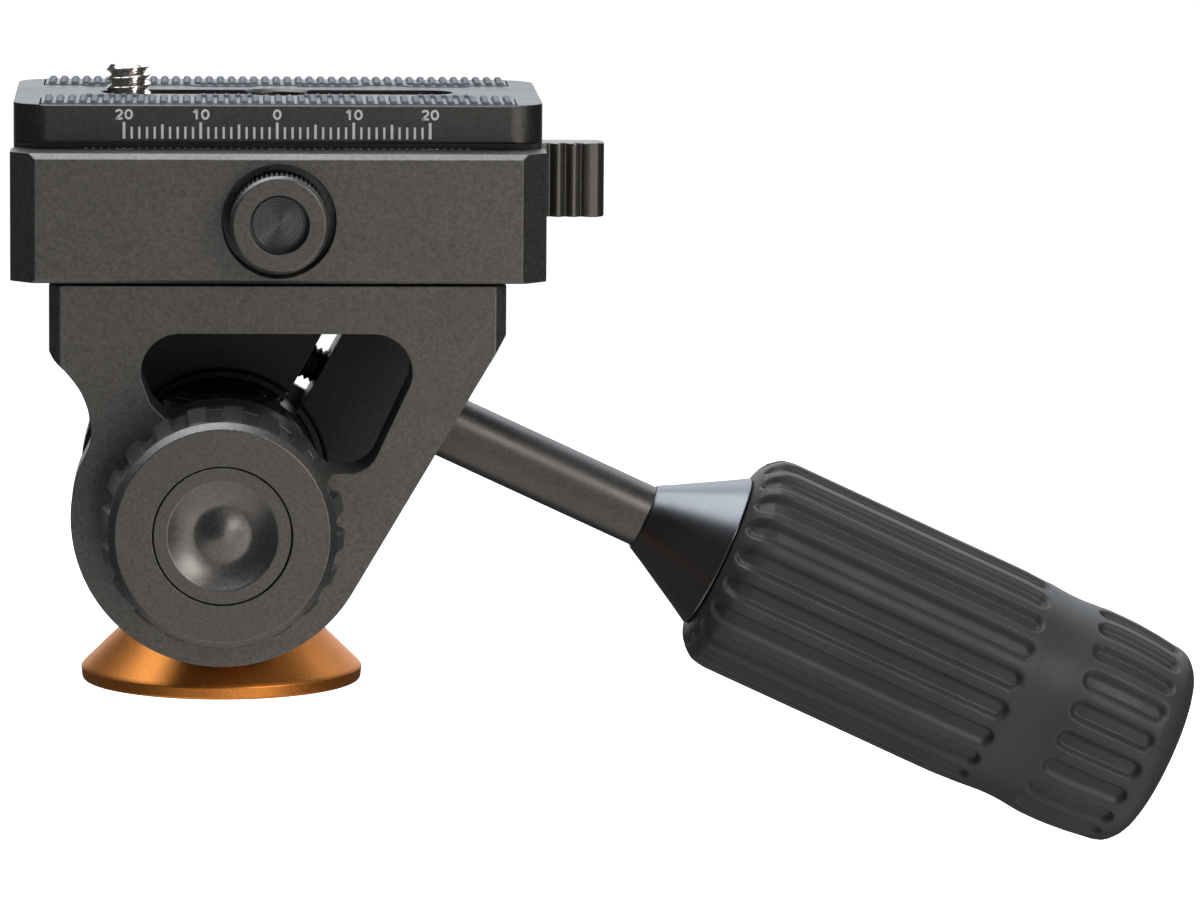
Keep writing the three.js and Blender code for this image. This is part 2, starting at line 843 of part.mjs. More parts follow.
// Screws that hold the clamp on the arms.
const ARM_SCREWS = [
  ["arm_screw_front_left", SCREW_XS[0], -18.6, 61.2, 3.3],
  ["arm_screw_front_right", SCREW_XS[1], -18.6, 61.2, 3.3],
  ["arm_screw_rear_left", SCREW_XS[0], 20.2, 57.2, 1.5],
  ["arm_screw_rear_right", SCREW_XS[1], 20.2, 57.2, 1.5],
];
for (const [name, x, y, z, h] of ARM_SCREWS) {
  let s = add(post(1.5, z - 8.2 + (h > 2 ? -1.4 : 2.8), z + 0.1, x, y, 16), post(2.8, z, z + h, x, y, 20));
  s = cut(s, hex(1.45, z + h - 1.1, z + h + 1, x, y));
  node(tilt, name, s, "steel");
}

// Draw bar: threaded in the knob, with an eye for the lever's pin.
node(
  tilt,
  "draw_bar",
  cut(
    add(
      rodY(2.0, -27.0, 24.8, CX, DRAW_Z, 20),
      box(CX - 1.7, 24.5, DRAW_Z - 1.5, CX + 1.7, LEVER_PIN_Y, DRAW_Z + 1.5),
      post(2.4, DRAW_Z - 1.5, DRAW_Z + 1.5, CX, LEVER_PIN_Y, 20),
    ),
    post(1.4, 60, 68, CX, LEVER_PIN_Y, 16),
  ),
  "steel",
);
node(tilt, "lever_pin", post(1.2, 58.9, 68.7, CX, LEVER_PIN_Y, 16), "steel");

for (const [side, sx] of [
  ["left", -1],
  ["right", 1],
]) {
  node(
    tilt,
    "jaw_guide_pin_" + side,
    rodY(1.5, 2.3, 21.6, CX + sx * 24, DRAW_Z - 1.2, 16),
    "steel",
  );
  // coil spring that pushes the jaw open
  const turns = 5, steps = 40, pts = [];
  for (let i = 0; i <= steps; i++) {
    const t = i / steps, a = 2 * Math.PI * turns * t;
    pts.push(
      new THREE.Vector3(
        CX + sx * 11 + 1.5 * Math.cos(a),
        6.5 + 10.9 * t,
        DRAW_Z - 1.2 + 1.5 * Math.sin(a),
      ),
    );
  }
  const wire = [];
  for (let i = 0; i < 4; i++) wire.push([0.3 * Math.cos((Math.PI * i) / 2), 0.3 * Math.sin((Math.PI * i) / 2)]);
  node(
    tilt,
    "jaw_spring_" + side,
    solid(
      new THREE.ExtrudeGeometry(polygon(wire), {
        steps: 40,
        bevelEnabled: false,
        extrudePath: new THREE.CatmullRomCurve3(pts),
      }),
    ),
    "steel",
  );
}

// Moving jaw on the far side.
const jawGroup = group(tilt, "jaw_group");
{
  let j = slabX(
    [
      [JAW_Y + 0.3, JAW_Z],
      [CLAMP_Y, JAW_Z],
      [CLAMP_Y, CLAMP_Z1 - 0.78],
      [CLAMP_Y - 0.78, CLAMP_Z1],
      [LIP_Y, CLAMP_Z1],
      [LIP_Y, 71.77],
      [GROOVE_Y, 69.62],
      [GROOVE_Y, FLOOR_Z],
      [JAW_Y + 0.3, FLOOR_Z],
    ],
    CX0,
    CX1,
  );
  j = j.intersect(clampPlan);
  j = cut(
    j,
    rodY(2.4, JAW_Y - 1, CLAMP_Y + 1, CX, DRAW_Z, 20),
    rodY(2.1, JAW_Y - 1, 17.9, CX - 11, DRAW_Z - 1.2, 16),
    rodY(2.1, JAW_Y - 1, 17.9, CX + 11, DRAW_Z - 1.2, 16),
    rodY(1.75, JAW_Y - 1, 22.4, CX - 24, DRAW_Z - 1.2, 16),
    rodY(1.75, JAW_Y - 1, 22.4, CX + 24, DRAW_Z - 1.2, 16),
  );
  node(jawGroup, "moving_jaw", j, "body");
}

// Cam lever on the far side. The cam's radius shrinks steadily as the lever opens.
const leverGroup = group(tilt, "lever_group");
const JAW_TRAVEL = 2.2;
const LEVER_OPEN = 110; // degrees
{
  const Z0 = 58.7, Z1 = 68.9;
  const r0 = 4.8; // cam radius towards the jaw, closed
  const s = new THREE.Shape();
  // At opening phi the lever has turned by phi, so what faces -Y then lay at -90 - phi before.
  const pts = [];
  for (let phi = -24; phi <= 134; phi += 6) {
    const f = Math.min(Math.max(phi / LEVER_OPEN, 0), 1);
    const r = r0 - JAW_TRAVEL * f;
    const a = toRad(-90 - phi);
    pts.push([CX + r * Math.cos(a), LEVER_PIN_Y + r * Math.sin(a)]);
  }
  // from the cam's left side round the back to the arm, then along the arm to its tip
  pts.push([CX - 2.0, LEVER_PIN_Y + 2.4], [CX + 1.5, LEVER_PIN_Y + 2.9]);
  pts.push([51.1, LEVER_PIN_Y + 2.9], [52.3, LEVER_PIN_Y + 1.7]);
  pts.push([52.3, 29.6], [51.3, 28.5]);
  pts.push([CX + 8, 28.5]);
  pts.forEach(([x, y], i) => (i ? s.lineTo(x, y) : s.moveTo(x, y)));
  s.closePath();
  let l = slabZ(s, Z0, Z1);
  // fork slot for the draw bar's eye, and the pin's bore
  l = cut(
    l,
    post(5.6, DRAW_Z - 1.75, DRAW_Z + 1.75, CX, LEVER_PIN_Y, 32),
    post(1.4, Z0 - 1, Z1 + 1, CX, LEVER_PIN_Y, 16),
  );
  // finger ribs on the near face of the tab
  for (const x of [44.8, 46.95, 49.1])
    l = cut(l, post(0.5, Z0 - 1, Z1 + 1, x, 28.4, 10));
  node(leverGroup, "cam_lever", l, "body");
}

// Adjusting knob on the near side.
const knobGroup = group(tilt, "clamp_knob_group");
{
  let k = turnedY(
    [
      [0, -30.1],
      [5.95, -30.1],
      [6.35, -29.7],
      [6.35, -22.6],
      [6.0, -22.2],
      [0, -22.2],
    ],
    CX,
    DRAW_Z,
    40,
  );
  k = cut(k, rodY(3.85, -31, -27.3, CX, DRAW_Z, 32), rodY(2.3, -29, -22, CX, DRAW_Z, 20));
  node(knobGroup, "clamp_knob", k, "body");
  node(knobGroup, "clamp_knob_disc", rodY(3.5, -28.0, -27.5, CX, DRAW_Z, 32), "black");
}

// ------------------------------------------------------------------ camera plate
const plateGroup = group(tilt, "plate_group");
{
  const X0 = CX - PLATE_L / 2, X1 = CX + PLATE_L / 2;
  let p = slabX(
    [
      [-PLATE_Y, PLATE_Z0 + 0.1],
      [-PLATE_Y + 0.1, PLATE_Z0],
      [PLATE_Y - 0.1, PLATE_Z0],
      [PLATE_Y, PLATE_Z0 + 0.1],
      [PLATE_Y, 69.5],
      [16.8, 71.7],
      [16.8, 73.2],
      [17.1, 73.4],
      [PLATE_Y - 0.1, 73.4],
      [PLATE_Y, 73.5],
      [PLATE_Y, PLATE_Z1 - 0.3],
      [PLATE_Y - 0.3, PLATE_Z1],
      [-PLATE_Y + 0.3, PLATE_Z1],
      [-PLATE_Y, PLATE_Z1 - 0.3],
      [-PLATE_Y, 73.5],
      [-PLATE_Y + 0.1, 73.4],
      [-17.1, 73.4],
      [-16.8, 73.2],
      [-16.8, 71.7],
      [-PLATE_Y, 69.5],
    ],
    X0,
    X1,
  );
  p = p.intersect(
    slabZ(roundedRect(X0, -PLATE_Y, X1, PLATE_Y, 4.4), PLATE_Z0 - 1, PLATE_Z1 + 1, 6),
  );
  const slotShape = (half, r) => roundedRect(CX - half, -r, CX + half, r, r - 0.001);
  p = cut(
    p,
    slabZ(slotShape(SLOT_HALF, SLOT_R), PLATE_Z0 - 1, PLATE_Z1 + 1, 8),
    slabZ(slotShape(27.4, 7.5), PLATE_Z0 - 1, 73.2, 8), // channel for the screw head
    post(KEY_R, PLATE_Z0 - 1, PLATE_Z1 + 1, CX, 0, 32),
  );
  // Outline of a rubber pad: a strip with four tapered tabs on its inner side.
  const padOutline = (side, grow) => {
    const pts = [
      [CX + PAD_X + grow, side * (PAD_Y1 + grow)],
      [CX - PAD_X - grow, side * (PAD_Y1 + grow)],
      [CX - PAD_X - grow, side * (PAD_Y0 - grow)],
    ];
    for (const x of [-21.3, -7.1, 7.1, 21.3])
      pts.push(
        [CX + x - 4.7 - grow, side * (PAD_Y0 - grow)],
        [CX + x - 3.6 - grow, side * (PAD_TAB_Y - grow)],
        [CX + x + 3.6 + grow, side * (PAD_TAB_Y - grow)],
        [CX + x + 4.7 + grow, side * (PAD_Y0 - grow)],
      );
    pts.push([CX + PAD_X + grow, side * (PAD_Y0 - grow)]);
    return polygon(pts);
  };
  // shallow beds for the pads
  for (const side of [-1, 1]) p = cut(p, slabZ(padOutline(side, 0.2), 77.4, 80));
  for (const x of [-30, 30]) p = cut(p, post(1.3, PLATE_Z0 - 1, 72.5, CX + x, 0, 14));
  node(plateGroup, "qr_plate", p, "body");

  for (const [name, side] of [
    ["front_pad", -1],
    ["rear_pad", 1],
  ]) {
    node(plateGroup, name, slabZ(padOutline(side, 0), 77.5, PAD_Z), "rubber");
  }
  for (const [side, x] of [
    ["left", -30],
    ["right", 30],
  ]) {
    let s = add(post(1.15, 65.6, 72.2, CX + x, 0, 16), post(2.1, 65.5, 67.2, CX + x, 0, 20));
    s = cut(s, hex(1.0, 64, 66.4, CX + x, 0));
    node(plateGroup, "stop_screw_" + side, s, "steel");
  }
}

// Camera screw with its retaining washer, captive in the plate's channel.
const slider = group(plateGroup, "screw_slide_group");
node(
  slider,
  "screw_retainer",
  (() => {
    const g = lathe(
      [
        [3.35, 72.3],
        [6.9, 72.3],
        [6.9, 73.0],
        [3.35, 73.0],
        [3.35, 72.3],
      ],
      32,
    );
    g.translate(SCREW_X, 0, 0);
    return solid(g);
  })(),
  "polymer",
);
const screwGroup = group(slider, "camera_screw_group");
{
  const g = lathe(
    [
      [0, 70.2],
      [6.6, 70.2],
      [7.0, 70.6],
      [7.0, 72.1],
      [SCREW_R, 72.1],
      [SCREW_R, 81.7],
      [SCREW_R - 0.6, 82.3],
      [0, 82.3],
    ],
    32,
  );
  g.translate(SCREW_X, 0, 0);
  const s = cut(solid(g), hex(2.4, 69, 71.8, SCREW_X, 0));
  node(screwGroup, "camera_screw", s, "nickel");
}

// ------------------------------------------------------------------ handle
const handle = group(tilt, "handle_group");
node(handle, "handle_stud", rodH(2.5, -11.2, 30, 20), "steel");
{
  const r = onHandle(
    [
      [0, 16.45],
      [4.0, 16.45],
      [ROD_R, 16.8],
      [ROD_R, 118],
      [0, 118],
    ],
    32,
  );
  node(handle, "handle_rod", cut(r, rodH(2.75, 10, 30.5, 20)), "body");
}
node(
  handle,
  "handle_ferrule",
  cut(
    onHandle(
      [
        [0, 49.9],
        [4.8, 49.9],
        [4.9, 50.25],
        [5.75, 52.0],
        [10.65, 60.7],
        [10.8, 61.1],
        [0, 61.1],
      ],
      48,
    ),
    rodH(4.6, 40, 70, 32),
  ),
  "black",
);
node(
  handle,
  "grip_core",
  cut(rodH(9.4, GRIP_S0, 124.6, 32), rodH(4.6, 50, 118.3, 32), rodH(2.2, 110, 130, 16)),
  "plastic",
);
node(
  handle,
  "grip_end_screw",
  cut(
    onHandle(
      [
        [0, 118.6],
        [1.9, 118.6],
        [1.9, 124.9],
        [4.2, 124.9],
        [4.2, 126.2],
        [0, 126.2],
      ],
      20,
    ),
    rodH(1.2, 125.4, 128, 6),
  ),
  "steel",
);
node(
  handle,
  "rubber_grip",
  cut(
    onHandle(
      [
        [0, GRIP_S0],
        [11.3, GRIP_S0],
        [12.9, GRIP_S0 + 0.6],
        [14.1, 63.0],
        [14.95, 64.0],
        [GRIP_R, 66.0],
        [GRIP_R, 101.0],
        [15.0, 106.0],
        [14.83, 109.0],
        [15.25, 114.0],
        [15.3, 117.0],
        [14.75, 123.0],
        [14.15, 126.0],
        [13.3, 127.1],
        [11.0, 128.1],
        [5.0, 128.7],
        [0, GRIP_S1],
      ],
      48,
    ),
    onHandle(
      [
        [0, 50],
        [9.7, 50],
        [9.7, 124.8],
        [4.5, 124.8],
        [4.5, 126.4],
        [0, 126.4],
      ],
      32,
    ),
  ),
  "rubber",
);

export default root;
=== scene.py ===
import json
import math

import bmesh
import bpy
import numpy as np
from mathutils import Matrix, Vector

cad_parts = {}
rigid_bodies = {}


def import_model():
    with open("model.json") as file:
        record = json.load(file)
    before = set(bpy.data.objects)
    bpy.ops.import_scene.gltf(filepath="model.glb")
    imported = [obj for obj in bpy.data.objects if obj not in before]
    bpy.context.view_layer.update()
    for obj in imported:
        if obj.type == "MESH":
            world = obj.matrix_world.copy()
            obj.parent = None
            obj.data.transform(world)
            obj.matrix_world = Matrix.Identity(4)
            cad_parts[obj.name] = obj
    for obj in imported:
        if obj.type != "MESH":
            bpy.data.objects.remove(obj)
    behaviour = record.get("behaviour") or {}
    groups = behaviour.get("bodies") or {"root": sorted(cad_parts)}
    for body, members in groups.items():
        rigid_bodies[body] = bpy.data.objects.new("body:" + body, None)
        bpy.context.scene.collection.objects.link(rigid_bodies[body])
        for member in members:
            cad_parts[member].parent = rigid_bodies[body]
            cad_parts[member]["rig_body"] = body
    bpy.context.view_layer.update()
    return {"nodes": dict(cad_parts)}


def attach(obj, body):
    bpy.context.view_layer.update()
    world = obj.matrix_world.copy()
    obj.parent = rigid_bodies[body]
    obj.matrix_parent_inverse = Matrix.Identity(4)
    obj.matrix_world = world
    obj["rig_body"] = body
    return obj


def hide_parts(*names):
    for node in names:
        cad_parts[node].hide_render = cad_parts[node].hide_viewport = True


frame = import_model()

scene = bpy.context.scene
NODES = frame["nodes"]

# ------------------------------------------------------------------ dimensions, millimetres, the frame's own
T = 25.0  # height of the tilt axis
CX = 7.3  # middle of the clamp and the plate
ARM_LEFT, ARM_RIGHT, ARM_TOP = -22.4, 36.8, 30.3
LOBE_R = 19.65
NX, NZ = 0.862, -0.5069  # normal of the slanted edge
CLAMP_Z0, CLAMP_Z1, FLOOR_Z, CLAMP_Y = 55.7, 72.5, 66.6, 25.5
DRAW_Z = 63.8
H0 = Vector((12.22, 20.2, T + 14.65))  # where the handle's axis crosses the slit
HD = Vector((0.9071, 0.0, -0.4209)).normalized()
H1 = Vector((-HD.z, 0.0, HD.x))  # across the handle, upwards
H2 = Vector((0.0, -1.0, 0.0))  # across the handle, towards the knob side


# ------------------------------------------------------------------ mesh tools
def mesh_from(name, verts, faces):
    me = bpy.data.meshes.new(name)
    me.from_pydata([tuple(v) for v in verts], [], [tuple(f) for f in faces])
    me.update()
    bm = bmesh.new()
    bm.from_mesh(me)
    bmesh.ops.remove_doubles(bm, verts=bm.verts, dist=2e-5)
    bmesh.ops.recalc_face_normals(bm, faces=bm.faces)
    bm.to_mesh(me)
    bm.free()
    return me


def axis_z(x=0.0, y=0.0):
    return Vector((x, y, 0)), Vector((0, 0, 1)), Vector((1, 0, 0)), Vector((0, 1, 0))


def axis_y(x=0.0, z=0.0):
    return Vector((x, 0, z)), Vector((0, 1, 0)), Vector((1, 0, 0)), Vector((0, 0, 1))


HANDLE = (H0, HD, H1, H2)


def lathe(profile, axis, segs=96, shape=None, phase=0.0):
    """A profile of (radius, height) turned about an axis. It starts and ends on the axis, or closes on itself.
    shape(angle, radius, height) may return another radius for each angle."""
    o, a, e1, e2 = (np.array(v, float) for v in axis)
    ring = abs(profile[0][0] - profile[-1][0]) < 1e-9 and abs(profile[0][1] - profile[-1][1]) < 1e-9 and profile[0][0] > 1e-6
    pts = profile[:-1] if ring else profile
    th = np.linspace(0, 2 * math.pi, segs, endpoint=False) + phase
    dirs = np.outer(np.cos(th), e1) + np.outer(np.sin(th), e2)
    verts, rows = [], []
    for r, h in pts:
        if r < 1e-6:
            rows.append([len(verts)])
            verts.append(o + a * h)
            continue
        rr = np.full(segs, float(r)) if shape is None else np.asarray(shape(th, r, h), float)
        base = len(verts)
        verts.extend(o + a * h + dirs * rr[:, None])
        rows.append(list(range(base, base + segs)))
    faces = []
    pairs = list(zip(rows, rows[1:])) + ([(rows[-1], rows[0])] if ring else [])
    for p, q in pairs:
        if len(p) == 1 and len(q) == 1:
            continue
        for i in range(segs):
            j = (i + 1) % segs
            if len(p) == 1:
                faces.append((p[0], q[j], q[i]))
            elif len(q) == 1:
                faces.append((p[i], p[j], q[0]))
            else:
                faces.append((p[i], p[j], q[j], q[i]))
    return mesh_from("turned", verts, faces)


def soft(points, n=3, closed=None):
    """Points (x, y[, setback]): a corner with a setback is rounded over that distance, with n steps. A step count may be a fourth value."""
    ring = closed if closed is not None else points[0][:2] == points[-1][:2]
    pts = points[:-1] if ring and points[0][:2] == points[-1][:2] else list(points)
    out = []
    k = len(pts)
    for i, p in enumerate(pts):
        f = p[2] if len(p) > 2 else 0.0
        steps = p[3] if len(p) > 3 else n
        if f <= 0 or (not ring and i in (0, k - 1)):
            out.append((p[0], p[1]))
            continue
        c = Vector(p[:2])
        a, b = Vector(pts[(i - 1) % k][:2]) - c, Vector(pts[(i + 1) % k][:2]) - c
        fa, fb = min(f, a.length * 0.49), min(f, b.length * 0.49)
        s, e = c + a.normalized() * fa, c + b.normalized() * fb
        for j in range(steps + 1):
            t = j / steps
            q = s * (1 - t) ** 2 + c * 2 * t * (1 - t) + e * t * t
            out.append((q.x, q.y))
    if ring:
        out.append(out[0])
    return out


def turned(points, axis, segs=96, n=3, shape=None, phase=0.0):
    return lathe(soft(points, n), axis, segs, shape, phase)


def rod(r, h0, h1, axis, segs=64, c=0.0):
    return turned([(0, h0), (r, h0, c), (r, h1, c), (0, h1)], axis, segs)


def prism(outline, lo, hi, plane):
    """A closed outline extruded. plane "y": outline in (x, z); "z": in (x, y); "x": in (y, z)."""
    put = {
        "y": lambda a, b, c: (a, c, b),
        "z": lambda a, b, c: (a, b, c),
        "x": lambda a, b, c: (c, a, b),
    }[plane]
    n = len(outline)
    verts = [put(a, b, lo) for a, b in outline] + [put(a, b, hi) for a, b in outline]
    faces = [tuple(range(n)), tuple(range(2 * n - 1, n - 1, -1))]
    faces += [(i, (i + 1) % n, n + (i + 1) % n, n + i) for i in range(n)]
    return mesh_from("prism", verts, faces)


def box(x0, y0, z0, x1, y1, z1):
    return prism([(x0, y0), (x1, y0), (x1, y1), (x0, y1)], z0, z1, "z")


def arc(cx, cz, r, a0, a1, n):
    return [
        (cx + r * math.cos(math.radians(a0 + (a1 - a0) * i / n)), cz + r * math.sin(math.radians(a0 + (a1 - a0) * i / n)))
        for i in range(n + 1)
    ]


def tidy(outline, gap=0.02):
    out = []
    for p in outline:
        if not out or math.hypot(p[0] - out[-1][0], p[1] - out[-1][1]) > gap:
            out.append(p)
    if math.hypot(out[0][0] - out[-1][0], out[0][1] - out[-1][1]) <= gap:
        out.pop()
    return out


def rounded(x0, y0, x1, y1, r, n=10):
    return tidy(
        arc(x1 - r, y0 + r, r, -90, 0, n)
        + arc(x1 - r, y1 - r, r, 0, 90, n)
        + arc(x0 + r, y1 - r, r, 90, 180, n)
        + arc(x0 + r, y0 + r, r, 180, 270, n)
    )


def curve_through(points, n):
    """Catmull-Rom points through the given ones."""
    p = [Vector(q) for q in points]
    p = [p[0] * 2 - p[1]] + p + [p[-1] * 2 - p[-2]]
    out = []
    for i in range(1, len(p) - 2):
        for j in range(n):
            t = j / n
            out.append(
                0.5
                * (
                    2 * p[i]
                    + (p[i + 1] - p[i - 1]) * t
                    + (2 * p[i - 1] - 5 * p[i] + 4 * p[i + 1] - p[i + 2]) * t * t
                    + (3 * p[i] - p[i - 1] - 3 * p[i + 1] + p[i + 2]) * t**3
                )
            )
    out.append(p[-2])
    return [(q.x, q.y) for q in out]


def temp(me):
    o = bpy.data.objects.new("temp", me)
    scene.collection.objects.link(o)
    return o


def baked(o, extra=()):
    """The object's mesh with its modifiers applied; the temporary objects go."""
    bpy.context.view_layer.update()
    dg = bpy.context.evaluated_depsgraph_get()
    me = bpy.data.meshes.new_from_object(o.evaluated_get(dg), preserve_all_data_layers=True, depsgraph=dg)
    for t in [o, *extra]:
        bpy.data.objects.remove(t)
    return me


def carve(me, cuts=(), adds=(), keeps=()):
    o = temp(me)
    others = []
    for op, group in (("UNION", adds), ("INTERSECT", keeps), ("DIFFERENCE", cuts)):
        for c in group:
            t = temp(c)
            others.append(t)
            m = o.modifiers.new("op", "BOOLEAN")
            m.operation, m.solver, m.object = op, "EXACT", t
    return baked(o, others)


def dissolved(me, degrees=0.4):
    """Merges flat neighbours back into single faces, so that edges can be rounded cleanly."""
    bm = bmesh.new()
    bm.from_mesh(me)
    bmesh.ops.remove_doubles(bm, verts=bm.verts, dist=1e-4)
    bmesh.ops.dissolve_limit(bm, angle_limit=math.radians(degrees), verts=bm.verts, edges=bm.edges)
    bm.to_mesh(me)
    bm.free()
    return me


def edged(me, width, segs=2, degrees=26):
    """Rounds every edge sharper than the given angle. The rounding takes the second material."""
    o = temp(me)
    m = o.modifiers.new("edge", "BEVEL")
    m.width, m.segments, m.limit_method, m.angle_limit = width, segs, "ANGLE", math.radians(degrees)
    m.use_clamp_overlap = False
    m.miter_outer = "MITER_ARC"
    m.material = 1
    return baked(o)


def shade(me, degrees=32, weighted=True):
    me.polygons.foreach_set("use_smooth", np.ones(len(me.polygons), bool))
    me.set_sharp_from_angle(angle=math.radians(degrees))
    if not weighted:
        return me
    o = temp(me)
    m = o.modifiers.new("normals", "WEIGHTED_NORMAL")
    m.keep_sharp = True
    m.weight = 60
    return baked(o)


def piece(name, me, mats, body, nodes=(), degrees=32, weighted=True):
    """Puts a finished mesh, made in millimetres, in the scene on its body."""
    mats = mats if isinstance(mats, (list, tuple)) else [mats]
    index = np.zeros(len(me.polygons), np.int32)
    me.polygons.foreach_get("material_index", index)
    me.materials.clear()
    for m in mats:
        me.materials.append(m)
    me.polygons.foreach_set("material_index", np.minimum(index, len(mats) - 1).astype(np.int32))
    me = shade(me, degrees, weighted)
    me.transform(Matrix.Scale(0.001, 4))
    me.name = name
    o = bpy.data.objects.new(name, me)
    scene.collection.objects.link(o)
    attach(o, body)
    if nodes:
        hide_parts(*nodes)
    return o


def rebuild(node, me, mats, degrees=32, weighted=True, also=()):
    return piece(node + "_fine", me, mats, NODES[node]["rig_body"], (node, *also), degrees, weighted)


# ------------------------------------------------------------------ materials
class Shader:
    """A material with one Principled shader and a few procedural parts, in millimetres of the object's own space."""

    def __init__(self, name, metallic=0.0, specular=0.5, coat=0.0, coat_roughness=0.1, sheen=0.0):
        self.m = bpy.data.materials.new(name)
        self.m.use_nodes = True
        self.t = self.m.node_tree
        self.t.nodes.clear()
        out = self.t.nodes.new("ShaderNodeOutputMaterial")
        self.b = self.t.nodes.new("ShaderNodeBsdfPrincipled")
        self.link(self.b.outputs[0], out.inputs[0])
        self.b.inputs["Metallic"].default_value = metallic
        self.b.inputs["Specular IOR Level"].default_value = specular
        self.b.inputs["Coat Weight"].default_value = coat
        self.b.inputs["Coat Roughness"].default_value = coat_roughness
        self.b.inputs["Sheen Weight"].default_value = sheen
        tc = self.t.nodes.new("ShaderNodeTexCoord")
        mm = self.t.nodes.new("ShaderNodeVectorMath")
        mm.operation = "SCALE"
        mm.inputs["Scale"].default_value = 1000.0
        self.link(tc.outputs["Object"], mm.inputs[0])
        self.p = mm.outputs[0]
        self.last_bump = None

    def link(self, a, b):
        self.t.links.new(a, b)

    def noise(self, scale, detail=2.0, rough=0.55, stretch=None, seed=0.0):
        src = self.p
        if stretch is not None or seed:
            mp = self.t.nodes.new("ShaderNodeMapping")
            mp.inputs["Scale"].default_value = stretch or (1, 1, 1)
            mp.inputs["Location"].default_value = (seed, seed * 1.7, -seed)
            self.link(src, mp.inputs["Vector"])
            src = mp.outputs[0]
        n = self.t.nodes.new("ShaderNodeTexNoise")
        n.inputs["Scale"].default_value = scale
        n.inputs["Detail"].default_value = detail
        n.inputs["Roughness"].default_value = rough
        self.link(src, n.inputs["Vector"])
        return n.outputs[0]

    def span(self, value, lo, hi, a, b):
        """value from lo..hi mapped to a..b"""
        n = self.t.nodes.new("ShaderNodeMapRange")
        n.inputs[1].default_value, n.inputs[2].default_value = lo, hi
        n.inputs[3].default_value, n.inputs[4].default_value = a, b
        self.link(value, n.inputs[0])
        return n.outputs[0]

    def math(self, op, a, b=None):
        n = self.t.nodes.new("ShaderNodeMath")
        n.operation = op
        for i, v in enumerate((a, b)):
            if v is None:
                continue
            if isinstance(v, (int, float)):
                n.inputs[i].default_value = v
            else:
                self.link(v, n.inputs[i])
        return n.outputs[0]

    def mix(self, fac, a, b):
        n = self.t.nodes.new("ShaderNodeMix")
        n.data_type = "RGBA"
        for s, v in ((n.inputs[6], a), (n.inputs[7], b)):
            if isinstance(v, tuple):
                s.default_value = (*v, 1.0)
            else:
                self.link(v, s)
        if isinstance(fac, (int, float)):
            n.inputs[0].default_value = fac
        else:
            self.link(fac, n.inputs[0])
        return n.outputs[2]

    def color(self, c):
        self.link(c, self.b.inputs["Base Color"])

    def rough(self, r):
        self.link(r, self.b.inputs["Roughness"])

    def bump(self, height, microns):
        n = self.t.nodes.new("ShaderNodeBump")
        n.inputs["Strength"].default_value = 1.0
        n.inputs["Distance"].default_value = microns * 1e-6
        self.link(height, n.inputs["Height"])
        if self.last_bump is not None:
            self.link(self.last_bump, n.inputs["Normal"])
        self.last_bump = n.outputs[0]
        self.link(n.outputs[0], self.b.inputs["Normal"])

    def rings(self, x, z, pitch, axis="y"):
        """A fine turned groove pattern about an axis along Y (or Z) through (x, z) (or (x, y))."""
        s = self.t.nodes.new("ShaderNodeSeparateXYZ")
        self.link(self.p, s.inputs[0])
        u, v = (s.outputs[0], s.outputs[2]) if axis == "y" else (s.outputs[0], s.outputs[1])
        du, dv = self.math("SUBTRACT", u, x), self.math("SUBTRACT", v, z)
        r = self.math("SQRT", self.math("ADD", self.math("MULTIPLY", du, du), self.math("MULTIPLY", dv, dv)))
        return self.math("SINE", self.math("MULTIPLY", r, 2 * math.pi / pitch))


def shade_of(c, k):
    return tuple(min(1.0, v * k) for v in c)


def blasted(name, base, rough, metallic=1.0, grain=0.13, microns=5.0, edge=None, specular=0.5):
    """Bead-blasted, anodised metal: a fine satin grain, slow tone changes and, for an edge, a little burnish and wear."""
    s = Shader(name, metallic=metallic, specular=specular)
    fine = s.noise(2.3, 3.0, 0.62)
    slow = s.noise(0.11, 2.0, 0.5, seed=3.1)
    c = s.mix(s.span(fine, 0.33, 0.67, 0, 1), shade_of(base, 1 - grain), shade_of(base, 1 + grain))
    c = s.mix(s.span(slow, 0.35, 0.65, 0.0, 0.22), c, shade_of(base, 0.82))
    r = s.math("ADD", s.span(fine, 0.3, 0.7, rough - 0.035, rough + 0.035), s.span(slow, 0.3, 0.7, -0.025, 0.025))
    if edge:
        wear = s.span(s.noise(1.1, 4.0, 0.7, seed=7.7), 0.60, 0.72, 0.0, 0.55)
        c = s.mix(wear, c, edge)
        r = s.math("SUBTRACT", r, s.math("MULTIPLY", wear, 0.10))
    s.color(c)
    s.rough(r)
    s.bump(s.noise(6.5, 2.0, 0.6, seed=1.3), microns)
    return s.m


GREY = (0.205, 0.194, 0.183)
m_grey = blasted("grey_anodised", GREY, 0.455, grain=0.21, microns=8.0)
m_grey_edge = blasted("grey_anodised_edges", shade_of(GREY, 1.3), 0.33, microns=2.0, edge=(0.42, 0.41, 0.40))
m_cap = blasted("grey_anodised_fine", shade_of(GREY, 1.05), 0.41, grain=0.18, microns=6.0)
m_lever = blasted("grey_anodised_lever", shade_of(GREY, 0.95), 0.36, grain=0.10, microns=2.5)
m_rod = blasted("grey_anodised_rod", shade_of(GREY, 0.70), 0.40, grain=0.15, microns=5.0)
m_plate = blasted("grey_anodised_plate", shade_of(GREY, 0.62), 0.40, grain=0.16, microns=6.0)
m_plate_edge = blasted("grey_anodised_plate_edges", shade_of(GREY, 0.95), 0.30, microns=2.0, edge=(0.42, 0.41, 0.40))
# painted shade: a darker grey for the rear arm's face turned to the drum, which lies in the front arm's shadow
m_painted_shade_inner = blasted("grey_anodised_painted_shade", shade_of(GREY, 0.30), 0.42, grain=0.15, microns=6.0)
BLACK = (0.050, 0.050, 0.052)
m_black = blasted("black_anodised", BLACK, 0.34, grain=0.10, microns=3.0)
